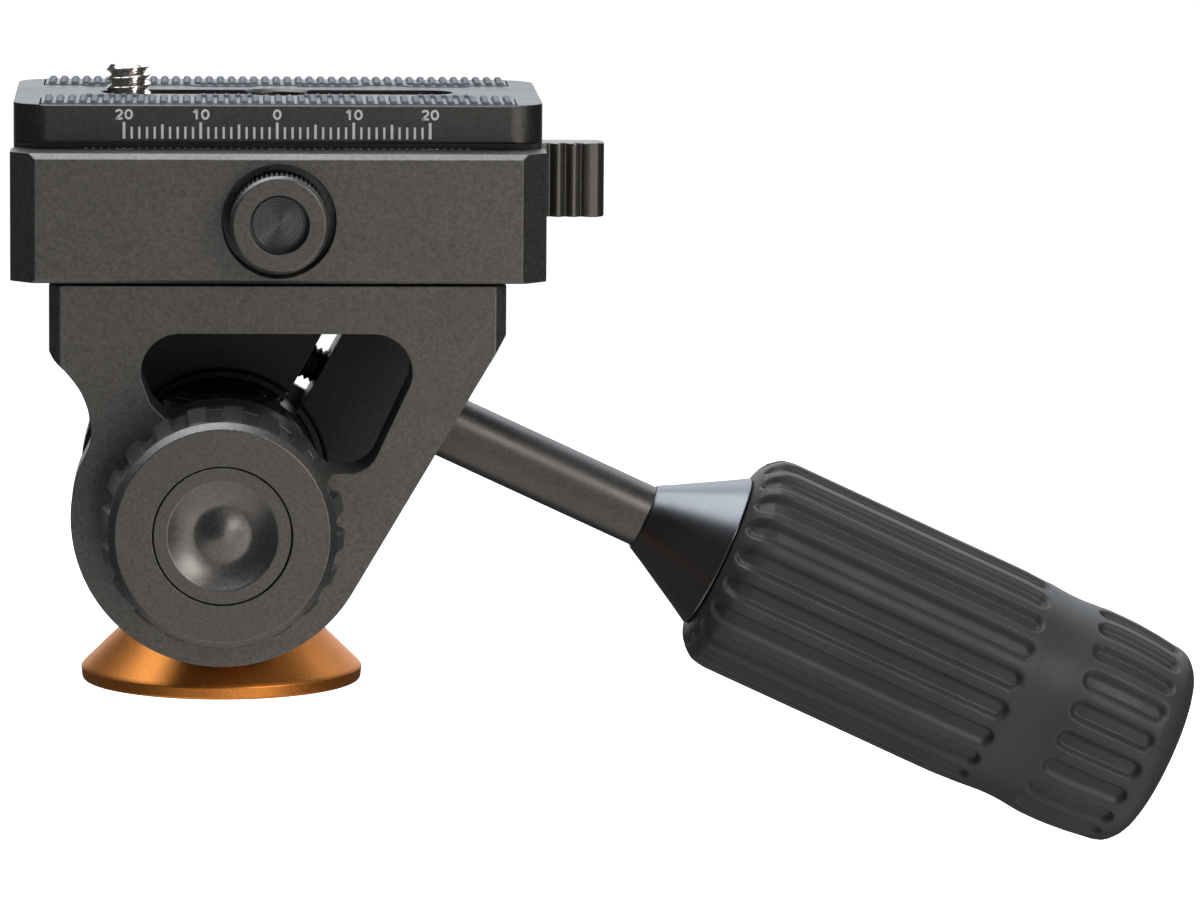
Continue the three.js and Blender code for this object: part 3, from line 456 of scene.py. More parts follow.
m_black_edge = blasted("black_anodised_edges", shade_of(BLACK, 1.4), 0.28, microns=1.5, edge=(0.2, 0.2, 0.2))
ORANGE = (0.84, 0.300, 0.062)
m_orange = blasted("orange_anodised", ORANGE, 0.43, grain=0.12, microns=6.5)

# glossy black of the ferrule: nearly smooth, with fine dust marks
s = Shader("gloss_black_anodised", metallic=1.0)
fine = s.noise(1.6, 4.0, 0.6)
s.color(s.mix(s.span(fine, 0.3, 0.7, 0, 1), (0.176, 0.178, 0.186), (0.190, 0.192, 0.200)))
s.rough(s.span(s.noise(0.5, 3.0, 0.6, seed=2.0), 0.3, 0.7, 0.28, 0.32))
s.bump(s.noise(7.0, 2.0, 0.5, stretch=(1.0, 1.0, 1.0)), 0.25)
m_gloss = s.m


def steel_like(name, base, rough, microns=1.5, stretch=(1, 1, 1), metallic=1.0):
    s = Shader(name, metallic=metallic)
    fine = s.noise(3.0, 4.0, 0.65, stretch=stretch)
    slow = s.noise(0.35, 2.0, 0.5, seed=5.0)
    c = s.mix(s.span(fine, 0.3, 0.7, 0, 1), shade_of(base, 0.88), shade_of(base, 1.1))
    s.color(s.mix(s.span(slow, 0.4, 0.7, 0.0, 0.3), c, shade_of(base, 0.78)))
    s.rough(s.span(fine, 0.3, 0.7, rough - 0.05, rough + 0.07))
    s.bump(fine, microns)
    return s.m


m_steel = steel_like("turned_steel", (0.42, 0.415, 0.41), 0.30, 2.0, (1, 1, 3))
m_dark_steel = steel_like("blackened_steel", (0.10, 0.10, 0.105), 0.34, 2.0)
m_nickel = steel_like("nickel_plate", (0.80, 0.745, 0.69), 0.17, 1.2)
m_bronze = steel_like("bearing_bronze", (0.60, 0.42, 0.19), 0.30, 2.0, (1, 3, 1))

s = Shader("bearing_polymer", specular=0.4)
fine = s.noise(2.0, 3.0, 0.6)
s.color(s.mix(s.span(fine, 0.3, 0.7, 0, 1), (0.66, 0.63, 0.57), (0.76, 0.74, 0.68)))
s.rough(s.span(fine, 0.3, 0.7, 0.42, 0.55))
s.bump(fine, 3.0)
m_polymer = s.m

s = Shader("moulded_black_plastic", specular=0.45)
fine = s.noise(4.0, 3.0, 0.6)
s.color(s.mix(s.span(fine, 0.3, 0.7, 0, 1), (0.014, 0.014, 0.015), (0.022, 0.022, 0.023)))
s.rough(s.span(fine, 0.3, 0.7, 0.4, 0.52))
s.bump(fine, 6.0)
m_plastic = s.m

# moulded rubber of the grip: a close matt skin with faint sheen, slightly polished in slow random patches
s = Shader("moulded_rubber", specular=0.36, sheen=0.0)
fine = s.noise(3.2, 4.0, 0.62)
slow = s.noise(0.09, 3.0, 0.55, seed=4.0)
c = s.mix(s.span(fine, 0.3, 0.7, 0, 1), (0.056, 0.052, 0.0485), (0.077, 0.0715, 0.066))
s.color(s.mix(s.span(slow, 0.38, 0.66, 0.0, 0.30), c, (0.040, 0.040, 0.041)))
s.rough(s.math("ADD", s.span(fine, 0.3, 0.7, 0.41, 0.49), s.span(slow, 0.3, 0.7, -0.04, 0.04)))
s.bump(s.noise(5.0, 3.0, 0.6, seed=2.2), 9.0)
s.bump(s.noise(0.9, 2.0, 0.5, seed=6.1), 14.0)
m_rubber = s.m

# the pads' harder, shinier rubber; its pale bluish grey is partly the rubber's own tone and partly painted reflection
# of the cool overhead light
s = Shader("pad_rubber_with_painted_reflection", specular=0.35)
fine = s.noise(4.0, 3.0, 0.6)
s.color(s.mix(s.span(fine, 0.3, 0.7, 0, 1), (0.115, 0.122, 0.138), (0.165, 0.174, 0.195)))
s.rough(s.span(fine, 0.3, 0.7, 0.34, 0.45))
s.bump(s.noise(8.0, 2.0, 0.6, seed=1.0), 4.0)
m_pad_rubber_with_painted_reflection = s.m

# printed scale marks
s = Shader("scale_paint", specular=0.3)
fine = s.noise(9.0, 3.0, 0.6)
s.color(s.mix(s.span(fine, 0.35, 0.65, 0, 1), (0.84, 0.83, 0.81), (0.95, 0.945, 0.93)))
s.rough(s.span(fine, 0.3, 0.7, 0.5, 0.65))
s.bump(fine, 3.0)
m_paint = s.m

# turned faces: fine concentric lathe marks
s = Shader("turned_disc", metallic=1.0)
fine = s.noise(4.0, 3.0, 0.6)
s.color(s.mix(s.span(fine, 0.3, 0.7, 0, 1), (0.15, 0.15, 0.152), (0.19, 0.19, 0.192)))
s.rough(s.span(s.rings(CX, DRAW_Z, 0.61), -1.0, 1.0, 0.27, 0.36))
s.bump(s.rings(CX, DRAW_Z, 0.37), 4.0)
s.b.inputs["Anisotropic"].default_value = 0.85
s.b.inputs["Anisotropic Rotation"].default_value = 0.25
tangent = s.t.nodes.new("ShaderNodeTangent")
tangent.direction_type, tangent.axis = "RADIAL", "Y"
s.link(tangent.outputs[0], s.b.inputs["Tangent"])
m_disc = s.m

# ------------------------------------------------------------------ base
Z0 = axis_z()
TA = axis_y(0.0, T)  # the tilt axis
KA = axis_y(CX, DRAW_Z)  # the adjusting knob's axis

rebuild(
    "base_flange",
    turned(
        [
            (7.3, 0.0, 0.1),
            (18.38, 0.0, 0.15),
            (18.56, 0.24, 0.14),
            (18.7, 1.62, 0.14),
            (18.42, 2.0, 0.12),
            (11.0, 9.28, 0.25),
            (10.7, 9.4, 0.08),
            (7.3, 9.4),
            (7.3, 0.0),
        ],
        Z0,
        192,
    ),
    m_orange,
)


def thread(r0, depth, pitch, h0, h1, fade, hand=1.0, flat=0.12):
    """A radius function for lathe(): a V thread between two heights, fading at both ends."""

    def shape(th, r, h):
        if h < h0 - 1e-6 or h > h1 + 1e-6:
            return np.full(len(th), r)
        x = np.mod(h / pitch - hand * th / (2 * math.pi), 1.0)
        tri = 1 - np.abs(2 * x - 1)  # 0 at the root, 1 at the crest
        tri = np.clip((tri - flat) / (1 - 2 * flat), 0, 1)
        f = min(1.0, (h - h0) / fade + 0.02, (h1 - h) / fade + 0.02)
        return r0 + (r - r0) * (1 - f) + depth * tri * f

    return shape


# spindle with the threaded tripod socket: the bore's thread is cut into the wall
rows = [(4.75, h) for h in np.arange(8.4, 0.62, -0.13)]
socket = thread(4.02, 0.72, 1.5875, 0.6, 8.45, 0.9)
rebuild(
    "pan_spindle",
    lathe(
        [(0, 8.9), (3.9, 8.9), (4.0, 8.6)]
        + rows
        + [(4.85, 0.5), (5.1, 0.25)]
        + soft([(5.1, 0.25), (7.0, 0.25, 0.15), (7.0, 9.3), (5.0, 9.3), (5.0, 28.2, 0.2), (3.0, 28.2), (3.0, 34.4, 0.3), (0, 34.4)])[1:],
        Z0,
        72,
        socket,
    ),
    m_steel,
    degrees=40,
)
rebuild(
    "pan_thrust_washer",
    turned([(5.4, 9.5), (10.8, 9.5, 0.1), (10.8, 9.9, 0.1), (5.4, 9.9), (5.4, 9.5)], Z0, 96),
    m_polymer,
)

# ------------------------------------------------------------------ pan housing
barrel = turned(
    [(0, 10.0), (12.0, 10.0, 0.35), (12.0, 13.2, 0.3), (8.4, 16.4, 0.6), (7.8, 17.2, 0.3), (7.8, 37.7, 0.35), (0, 37.7)],
    Z0,
    96,
)
drum = turned(
    [(0, 2), (9.6, 2), (9.6, 8.4, 0.3), (12.9, 9.95, 0.25), (13.0, 10.4), (13.0, 24.2, 0.4), (0, 24.2)],
    TA,
    128,
)
neck = turned(
    [(0, -23.4), (7.0, -23.4, 0.3), (7.0, -12.2, 0.1), (10.0, -12.2, 0.3), (10.0, -9.2, 0.4), (8.2, -7.4, 0.4), (8.2, -2), (0, -2)],
    TA,
    96,
)
housing = carve(
    barrel,
    adds=[drum, neck],
    cuts=[
        rod(6.45, 9.0, 20.6, Z0),
        rod(5.15, 20.0, 28.5, Z0),
        rod(3.3, 28.0, 31.0, Z0),
        rod(6.35, 30.0, 38.7, Z0, 80),
        rod(3.15, -24.4, -3.0, TA),
        turned([(7.2, 13.4), (9.8, 13.4), (9.8, 25.2), (7.2, 25.2), (7.2, 13.4)], TA, 96),
    ],
)
rebuild("pan_housing", housing, [m_black, m_black_edge], degrees=30)
rebuild(
    "pan_cap",
    turned(
        [(0, 35.4), (6.1, 35.4), (6.1, 38.0, 0.35), (5.0, 38.1, 0.2), (4.6, 37.75, 0.2), (2.2, 37.75, 0.15), (1.9, 37.4), (0, 37.4)],
        Z0,
        96,
    ),
    m_black_edge,
)

# ------------------------------------------------------------------ lock knob
FRONT = -40.4
TEETH = 20


def teeth(th, r, h):
    """Twenty flat-topped teeth on a slightly conical skirt."""
    if not (-39.2 <= h <= -30.3) or r < 14.6:
        return np.full(len(th), r)
    x = np.mod((th - math.radians(-5.5)) * TEETH / (2 * math.pi) + 0.5, 1.0)  # 0.5 at a tooth's middle
    d = np.abs(x - 0.5)
    land = 1 - np.clip((d - 0.235) / 0.105, 0, 1)
    land = land * land * (3 - 2 * land)
    ends = min(1.0, max(0.0, (h + 39.2) / 0.45), max(0.0, (-30.3 - h) / 0.5))
    root = min(r, 14.60)
    return root + (r - root) * land * (0.1 + 0.9 * ends)


knob = soft(
    [
        (3.3, -38.0),
        (8.98, -38.0),
        (8.98, FRONT, 0.10),
        (13.75, FRONT, 0.12),
        (14.6, FRONT + 0.92, 0.12),
        (14.6, -39.2),
    ]
)
knob += [(14.68, -39.1), (14.74, -38.95), (14.78, -38.7)]
knob += [(14.78 + 0.97 * i / 8, -38.4 + 5.8 * i / 8) for i in range(9)]
knob += [(15.76, -32.3), (15.74, -31.9), (15.62, -31.4), (15.4, -30.9), (15.05, -30.5), (14.55, -30.2)]
knob += soft([(14.55, -30.2), (12.4, -29.4, 0.3), (11.4, -25.8, 0.25), (3.3, -25.8)])[1:]
knob += [(3.3, -38.0)]
rebuild("lock_knob", lathe(knob, TA, 480, teeth), [m_grey], degrees=34)

dish = [(0, -38.3), (8.70, -38.3), (8.82, -38.2), (8.82, FRONT + 0.10), (8.74, FRONT), (7.20, FRONT)]
dish += [(7.08, FRONT + 0.015), (6.98, FRONT + 0.06)]
for i in range(1, 17):  # the hollow
    t = i / 16
    dish.append((6.98 - 3.28 * t, FRONT + 0.06 + 1.46 * (1 - (1 - t) ** 1.5)))
for i in range(1, 25):  # the boss in the middle of the hollow, blended into it
    u = 1 - i / 24
    if u * 3.70 < 0.26:
        break
    dish.append((u * 3.70, FRONT + 0.56 + 0.96 * u * u * (3 - 2 * u) ** 0.9 / 1.0))
low = FRONT + 0.56
dish += [(0.20, low + 0.01), (0.12, low + 0.09), (0, low + 0.13)]
rebuild("lock_knob_cap", lathe(dish, TA, 160), [m_cap], degrees=30)
rebuild("lock_knob_stem", rod(3.0, -37.7, -8.8, TA, 64, 0.2), m_steel)
rebuild(
    "lock_knob_washer",
    turned([(3.3, -25.5), (8.0, -25.5, 0.15), (8.0, -24.6, 0.15), (3.3, -24.6), (3.3, -25.5)], TA, 96),
    m_steel,
)


# ------------------------------------------------------------------ side arms
def arm_outline(lobe=LOBE_R, slant=19.68):
    start = [(-17.15, 9.5), (-17.75, 8.1), (lobe * math.cos(math.radians(160)), lobe * math.sin(math.radians(160)))]
    left = curve_through(
        [(-22.4, 21.6), (-21.7, 20.4), (-20.4, 19.15), (-19.3, 17.85), (-18.4, 16.55), (-17.8, 15.25), (-17.36, 13.95), (-17.1, 12.3), (-17.0, 10.9)] + start,
        3,
    )
    end = 360 + math.degrees(math.atan2(NZ, NX))
    ring = arc(0, 0, lobe, 160, end, 68)[1:]
    zr = (NX * ARM_RIGHT - slant) / -NZ
    pts = [(ARM_LEFT, ARM_TOP)] + left + ring + [(ARM_RIGHT, zr), (ARM_RIGHT, ARM_TOP)]
    return [(x, T + z) for x, z in tidy(pts)]


def relief_outline(lobe=16.8, slant=16.8):
    a0 = 180 - math.degrees(math.asin(7.0 / lobe))
    end = 360 + math.degrees(math.atan2(NZ, NX))
    ring = arc(0, 0, lobe, a0, end, 60)
    right = lambda z: (slant - NZ * z) / NX
    zr = (NX * ARM_RIGHT - slant) / -NZ
    top = [(right(zr), zr), (ARM_RIGHT, ARM_TOP)] if zr < ARM_TOP - 0.1 else [(right(ARM_TOP), ARM_TOP)]
    pts = [(-16.8, ARM_TOP), (-16.8, 9.5), (-16.1, 8.0)] + ring + top
    return [(x, T + z) for x, z in tidy(pts)]


def window_outline():
    pts = arc(-5.5, 19.0, 5.0, 91, 190, 16)
    pts += [(-9.3, 14.9), (-7.25, 12.75)]
    pts += [(14.3 * math.cos(math.radians(118 - 94 * i / 22)), 14.3 * math.sin(math.radians(118 - 94 * i / 22))) for i in range(23)]
    pts += arc(16.3, 9.9, 4.1, 262, 329.5, 12)
    pts += arc(19.55, 19.0, 5.0, -30.5, 90, 20)
    return [(x, T + z) for x, z in tidy(pts, 0.05)]


def chamfers(y, side):
    c = 1.4
    out = []
    for x, dx in ((ARM_RIGHT, 1), (ARM_LEFT, -1)):
        out.append(
            prism(
                [(x + dx * 1.0, y - side * (c + 1.0)), (x + dx * 1.0, y + side * 1.0), (x - dx * (c + 1.0), y + side * 1.0)],
                T + 10,
                T + 40,
                "z",
            )
        )
    return out


front = carve(
    prism(arm_outline(), -24.2, -15.8, "y"),
    adds=[prism(relief_outline(), -16.3, -13.2, "y")],
)
front = carve(
    front,
    cuts=[
        prism(window_outline(), -25.5, -12.0, "y"),
        rod(8.35, -25.5, -12.0, TA, 96),
        *chamfers(-24.2, -1),
    ],
)
front = edged(dissolved(front), 0.17, 2)
rebuild("front_side_arm", front, [m_grey, m_grey_edge])


def slit_outline(t0, t1, w=1.2):
    """Parallel to the slanted edge, through a fixed point of the arm."""

    def at(a, t):
        return (12.26 + 0.8718 * a + 0.4899 * t, T + 14.35 - 0.4899 * a + 0.8718 * t)

    return [at(-w, t0), at(w, t0), at(w, t1), at(-w, t1)]


t_top = (25.6 - 14.35) / 0.8718
rear = carve(
    prism(arm_outline(19.0), 16.0, 24.5, "y"),
    cuts=[
        rod(14.15, 15.0, 25.5, TA, 120),
        turned([(0, 15.0), (14.5, 15.0), (14.5, 16.0), (14.1, 16.4), (0, 16.4)], TA, 120),
        prism(slit_outline(-9, t_top), 15.0, 25.5, "y"),
        box(12.26 + 0.4899 * t_top - 1.2, 15.0, T + 23.8, ARM_RIGHT + 2, 25.5, T + 25.6),
        rod(2.8, -12, 30, HANDLE, 48),
        rod(5.4, 16.15, 40, HANDLE, 64),
        *chamfers(24.5, 1),
        *[rod(1.25, 19.5, 25.5, axis_y(16.9 * math.cos(math.radians(a)), T + 16.9 * math.sin(math.radians(a))), 24) for a in (100, 172, 244)],
    ],
)
rear = edged(dissolved(rear), 0.15, 2)
for f in rear.polygons:  # painted shade: the face turned to the drum takes a darker grey for the shadow of the front arm
    if f.normal.y < -0.9:
        f.material_index = 2
rebuild("rear_clamp_arm", rear, [m_grey, m_grey_edge, m_painted_shade_inner])

rebuild(
    "front_bushing",
    turned([(7.12, -23.8), (8.2, -23.8, 0.1), (8.2, -13.1), (9.9, -13.1, 0.1), (9.9, -12.35, 0.1), (7.12, -12.35), (7.12, -23.8)], TA, 96),
    m_bronze,
)
liner = carve(
    turned([(13.15, 16.3, 0.1), (14.0, 16.3, 0.1), (14.0, 24.2), (13.15, 24.2), (13.15, 16.3)], TA, 128),
    cuts=[prism(slit_outline(-9, 3), 15.0, 25.5, "y")],
)
rebuild("drum_liner", liner, m_plastic)

# rear cover and its screws
cover = turned(
    [(0, 24.65), (18.3, 24.65, 0.1), (18.3, 26.0, 0.25), (17.7, 26.6, 0.25), (11.0, 26.6, 0.2), (10.4, 26.1, 0.2), (0, 26.1)],
    TA,
    160,
)
spots = [(16.9 * math.cos(math.radians(a)), T + 16.9 * math.sin(math.radians(a))) for a in (100, 172, 244)]
cover = carve(
    cover,
    cuts=[prism(slit_outline(-3.9, 6, 1.55), 23.5, 28.5, "y"), *[rod(1.45, 23.0, 28.0, axis_y(x, z), 32) for x, z in spots]],
)
rebuild("rear_cover", cover, [m_grey, m_grey_edge])


def socket_screw(axis, shank, h0, h_under, h_top, r_head, hexagon, depth, segs=64):
    """A socket head screw with its head towards +height."""
    body = turned(
        [(0, h0), (shank - 0.15, h0, 0.1), (shank, h0 + 0.3), (shank, h_under), (r_head, h_under, 0.08), (r_head, h_top, 0.28), (0, h_top)],
        axis,
        segs,
    )
    o, a, e1, e2 = axis
    verts, faces = [], []
    for h in (h_top - depth, h_top + 1):
        for i in range(6):
            t = math.pi * i / 3
            verts.append(o + a * h + e1 * hexagon * math.cos(t) + e2 * hexagon * math.sin(t))
    faces = [tuple(range(6)), tuple(range(11, 5, -1))] + [(i, (i + 1) % 6, 6 + (i + 1) % 6, 6 + i) for i in range(6)]
    return carve(body, cuts=[mesh_from("hex", verts, faces)])


for i, (x, z) in enumerate(spots):
    rebuild(
        "rear_cover_screw_" + str(i + 1),
        socket_screw(axis_y(x, z), 1.1, 19.8, 26.75, 28.1, 1.9, 0.95, 1.0),
        m_dark_steel,
        degrees=28,
    )

# ------------------------------------------------------------------ clamp
CX0, CX1, CH = CX - 34.7, CX + 34.7, 3.2
plan = prism(
    [(CX0 + CH, -CLAMP_Y), (CX1 - CH, -CLAMP_Y), (CX1, -CLAMP_Y + CH), (CX1, CLAMP_Y - CH), (CX1 - CH, CLAMP_Y), (CX0 + CH, CLAMP_Y), (CX0, CLAMP_Y - CH), (CX0, -CLAMP_Y + CH)],
    50.0,
    80.0,
    "z",
)
SX = (CX - 20.5, CX + 20.5)
clamp = prism(
    [
        (-CLAMP_Y, CLAMP_Z0 + 0.45),
        (-CLAMP_Y + 0.45, CLAMP_Z0),
        (CLAMP_Y - 0.45, CLAMP_Z0),
        (CLAMP_Y, CLAMP_Z0 + 0.45),
        (CLAMP_Y, 58.9),
        (12.8, 58.9),
        (12.8, FLOOR_Z),
        (-19.3, FLOOR_Z),
        (-19.3, 69.62),
        (-17.15, 71.77),
        (-17.15, CLAMP_Z1),
        (-CLAMP_Y + 0.75, CLAMP_Z1),
        (-CLAMP_Y, CLAMP_Z1 - 0.75),
    ],
    CX0 - 1,
    CX1 + 1,
    "x",
)
clamp = carve(
    clamp,
    keeps=[plan],
    cuts=[
        rod(7.35, -30.0, -21.9, KA, 120),
        rod(2.3, -23, 14, KA, 40),
        box(CX0 - 2, -2.6, FLOOR_Z - 1.7, CX - 7.5, 2.6, FLOOR_Z + 1),
        box(CX + 7.5, -2.6, FLOOR_Z - 1.7, CX1 + 2, 2.6, FLOOR_Z + 1),
        *[rod(2.1, 6.0, 14, axis_y(CX + d, DRAW_Z - 1.2), 32) for d in (-11, 11)],
        *[rod(1.8, 2.0, 14, axis_y(CX + d, DRAW_Z - 1.2), 32) for d in (-24, 24)],
        *[rod(1.75, 55, 70, axis_z(x, -18.6), 32) for x in SX],
        *[rod(3.1, 61.0, 70, axis_z(x, -18.6), 48) for x in SX],
        *[rod(1.75, 55, 62, axis_z(x, 20.2), 32) for x in SX],
        *[rod(3.3, 57.0, 62, axis_z(x, 20.2), 48) for x in SX],
    ],
)
clamp = edged(dissolved(clamp), 0.14, 2)
rebuild("clamp_body", clamp, [m_grey, m_grey_edge])

jaw = prism(
    [
        (13.1, 59.2),
        (CLAMP_Y, 59.2),
        (CLAMP_Y, CLAMP_Z1 - 0.75),
        (CLAMP_Y - 0.75, CLAMP_Z1),
        (17.15, CLAMP_Z1),
        (17.15, 71.77),
        (19.3, 69.62),
        (19.3, FLOOR_Z),
        (13.1, FLOOR_Z),
    ],
    CX0 - 1,
    CX1 + 1,
    "x",
)
jaw = carve(
    jaw,
    keeps=[plan],
    cuts=[
        rod(2.4, 11, 27, KA, 40),
        *[rod(2.1, 11, 17.9, axis_y(CX + d, DRAW_Z - 1.2), 32) for d in (-11, 11)],
        *[rod(1.75, 11, 22.4, axis_y(CX + d, DRAW_Z - 1.2), 32) for d in (-24, 24)],
    ],
)
jaw = edged(dissolved(jaw), 0.14, 2)
rebuild("moving_jaw", jaw, [m_grey, m_grey_edge])

rebuild(
    "lever_pin",
    turned([(0, 58.9), (1.2, 58.9, 0.15), (1.2, 68.7, 0.15), (0, 68.7)], axis_z(CX, 30.6), 48),
    m_steel,
)
bar = carve(
    rod(2.0, -27.0, 24.8, KA, 48, 0.2),
    adds=[box(CX - 1.7, 24.5, DRAW_Z - 1.5, CX + 1.7, 30.6, DRAW_Z + 1.5), rod(2.4, DRAW_Z - 1.5, DRAW_Z + 1.5, axis_z(CX, 30.6), 48)],
    cuts=[rod(1.4, 60, 68, axis_z(CX, 30.6), 32)],
)
rebuild("draw_bar", bar, m_steel, degrees=28)

# cam lever: the end of its straight bar has rounded finger ribs on the near face
lever = []
for phi in range(-24, 135, 2):
    f = min(max(phi / 110, 0), 1)
    r = 4.8 - 2.2 * f
    a = math.radians(-90 - phi)
    lever.append((CX + r * math.cos(a), 30.6 + r * math.sin(a)))
lever += [(CX - 2.0, 33.0), (CX + 1.5, 33.5)]
lever += [(CX + 12, 33.5)]
lever += arc(50.7, 31.9, 1.6, 90, 0, 10)
lever += arc(50.5, 30.25, 1.8, 0, -68, 10)


def ribs(x0, x1, y, rise, n=10):
    """One finger rib from x0 down to x1, bulging by rise."""
    return [(x0 + (x1 - x0) * i / n, y - rise * math.sin(math.pi * i / n) ** 0.7) for i in range(n + 1)]


lever += [(50.4, 28.52), (49.75, 28.62), (49.3, 28.95)]
lever += ribs(49.07, 46.95, 29.3, 0.75)
lever += ribs(46.95, 44.85, 29.3, 0.75)[1:]
lever += [(44.6, 29.05), (44.2, 28.72), (43.6, 28.6), (CX + 8, 28.6)]
lever = prism(tidy(lever, 0.04), 58.7, 68.9, "z")
lever = carve(lever, cuts=[rod(5.6, DRAW_Z - 1.75, DRAW_Z + 1.75, axis_z(CX, 30.6), 80), rod(1.4, 58, 69, axis_z(CX, 30.6), 32)])
lever = edged(dissolved(lever), 0.26, 3, 40)
rebuild("cam_lever", lever, [m_lever, m_lever], degrees=36)


# adjusting knob: fine straight knurl
def knurl(th, r, h):
    if not (-29.68 <= h <= -22.6) or r < 6.2:
        return np.full(len(th), r)
    f = min(1.0, max(0.0, (h + 29.68) / 0.3), max(0.0, (-22.6 - h) / 0.35))
    x = np.mod(th * 60 / (2 * math.pi), 1.0)
    tri = 1 - np.abs(2 * x - 1)
    return r - 0.34 * f * (1 - np.clip(tri * 1.5, 0, 1))


knob2 = soft([(2.3, -27.3), (3.85, -27.3), (3.85, -30.1, 0.10), (5.92, -30.1, 0.14), (6.28, -29.76, 0.10)], 3)
knob2 += [(6.33, -29.66), (6.35, -29.5), (6.36, -29.3)]
knob2 += [(6.36, h) for h in np.linspace(-28.8, -23.4, 6)] + [(6.36, -22.95), (6.35, -22.75), (6.3, -22.6)]
knob2 += [(6.0, -22.2), (2.3, -22.2), (2.3, -27.3)]
rebuild("clamp_knob", lathe(knob2, KA, 480, knurl), [m_grey], degrees=34)
rebuild(
    "clamp_knob_disc",
    turned([(0, -27.5), (3.48, -27.5), (3.48, -27.92, 0.12), (0, -28.02)], KA, 128),
    m_disc,
)

# ------------------------------------------------------------------ camera plate
PX0, PX1, PY, PZ0, PZ1 = CX - 34.4, CX + 34.4, 19.0, 68.7, 78.3
plate = prism(
    [
        (-PY, PZ0 + 0.1),
        (-PY + 0.1, PZ0),
        (PY - 0.1, PZ0),
        (PY, PZ0 + 0.1),
        (PY, 69.5),
        (16.8, 71.7),
        (16.8, 73.2),
        (17.05, 73.4),
        (PY - 0.15, 73.4),
        (PY, 73.55),
        (PY, PZ1 - 0.25),
        (PY - 0.25, PZ1),
        (-PY + 0.25, PZ1),
        (-PY, PZ1 - 0.25),
        (-PY, 73.55),
        (-PY + 0.15, 73.4),
        (-17.05, 73.4),
        (-16.8, 73.2),
        (-16.8, 71.7),
        (-PY, 69.5),
    ],
    PX0 - 1,
    PX1 + 1,
    "x",
)
corner = prism(rounded(PX0, -PY, PX1, PY, 4.4, 18), PZ0 - 1, PZ1 + 1, "z")


def slot_outline(half, r, n=14):
    return tidy(arc(CX + half - r, 0, r, -90, 90, n) + arc(CX - half + r, 0, r, 90, 270, n))


def pad_outline(side, grow):
    """A strip with four tapered tabs on its inner side."""
    pts = [(CX + 30.8 + grow, side * (18.2 + grow)), (CX - 30.8 - grow, side * (18.2 + grow)), (CX - 30.8 - grow, side * (9.6 - grow))]
    for x in (-21.3, -7.1, 7.1, 21.3):
        pts += [
            (CX + x - 4.7 - grow, side * (9.6 - grow)),
            (CX + x - 3.6 - grow, side * (7.9 - grow)),
            (CX + x + 3.6 + grow, side * (7.9 - grow)),
            (CX + x + 4.7 + grow, side * (9.6 - grow)),
        ]
    return pts + [(CX + 30.8 + grow, side * (9.6 - grow))]


plate = carve(
    plate,
    keeps=[corner],
    cuts=[
        prism(slot_outline(23.2, 3.3), PZ0 - 1, PZ1 + 1, "z"),
        prism(slot_outline(27.4, 7.5), PZ0 - 1, 73.2, "z"),
        turned([(0, PZ0 - 1), (5.0, PZ0 - 1), (5.0, PZ1 - 0.42), (5.42, PZ1), (5.42, PZ1 + 1), (0, PZ1 + 1)], axis_z(CX, 0), 80),
        prism(pad_outline(1, 0.2), 77.4, 80.0, "z"),
        prism(pad_outline(-1, 0.2), 77.4, 80.0, "z"),
        *[rod(1.3, PZ0 - 1, 72.5, axis_z(CX + d, 0), 32) for d in (-30, 30)],
    ],
)
plate = edged(dissolved(plate), 0.10, 2)
rebuild("qr_plate", plate, [m_plate, m_plate_edge])


# rubber pads with rows of small rounded points
def pad_mesh(side):
    slab = prism(pad_outline(side, 0.0), 77.5, 78.42, "z")
    slab = edged(dissolved(slab), 0.08, 2)
    pitch = 1.492
    spots = []
    for j in range(6):
        y = 17.62 - 1.475 * j
        spots += [(i * pitch, y) for i in range(-20, 21)]
    for x in (-21.3, -7.1, 7.1, 21.3):  # the extra row in the tabs stands between the columns
        n0 = round(x / pitch - 0.5) + 0.5
        spots += [((n0 + k) * pitch, 8.80) for k in (-2, -1, 0, 1, 2)]
    verts, faces = [], []
    seg = 14
    prof = ((0.53, 78.36), (0.51, 78.52), (0.45, 78.65), (0.34, 78.77), (0.18, 78.845))
    for px, py in spots:
        x, y = CX + px, side * py
        base = len(verts)
        for r, z in prof:
            for k in range(seg):
                a = 2 * math.pi * k / seg
                verts.append((x + r * math.cos(a), y + r * math.sin(a), z))
        verts.append((x, y, 78.87))
        top = len(verts) - 1
        for q in range(len(prof) - 1):
            for k in range(seg):
                k2 = (k + 1) % seg
                faces.append((base + q * seg + k, base + q * seg + k2, base + (q + 1) * seg + k2, base + (q + 1) * seg + k))
        last = base + (len(prof) - 1) * seg
        for k in range(seg):
            faces.append((last + k, last + (k + 1) % seg, top))
        faces.append(tuple(base + k for k in range(seg - 1, -1, -1)))
    bumps = mesh_from("bumps", verts, faces)
    bm = bmesh.new()
    bm.from_mesh(slab)
    bm.from_mesh(bumps)
    out = bpy.data.meshes.new("pad")
    bm.to_mesh(out)
    bm.free()
    return out


for name, side in (("front_pad", -1), ("rear_pad", 1)):
    rebuild(name, pad_mesh(side), [m_pad_rubber_with_painted_reflection, m_pad_rubber_with_painted_reflection], degrees=60, weighted=False)

# scale: lines for millimetres, longer at 5 and 10, numbered each 10
verts, faces = [], []


PITCH = 0.991  # of the scale's lines; the whole model comes out that much small


def stroke(x, z0, z1, w):
    b = len(verts)
    for y in (-19.03, -18.95):
        verts.extend([(x - w / 2, y, z0), (x + w / 2, y, z0), (x + w / 2, y, z1), (x - w / 2, y, z1)])
    faces.extend([(b, b + 1, b + 2, b + 3), (b + 7, b + 6, b + 5, b + 4)])
    faces.extend([(b + i, b + 4 + i, b + 4 + (i + 1) % 4, b + (i + 1) % 4) for i in range(4)])


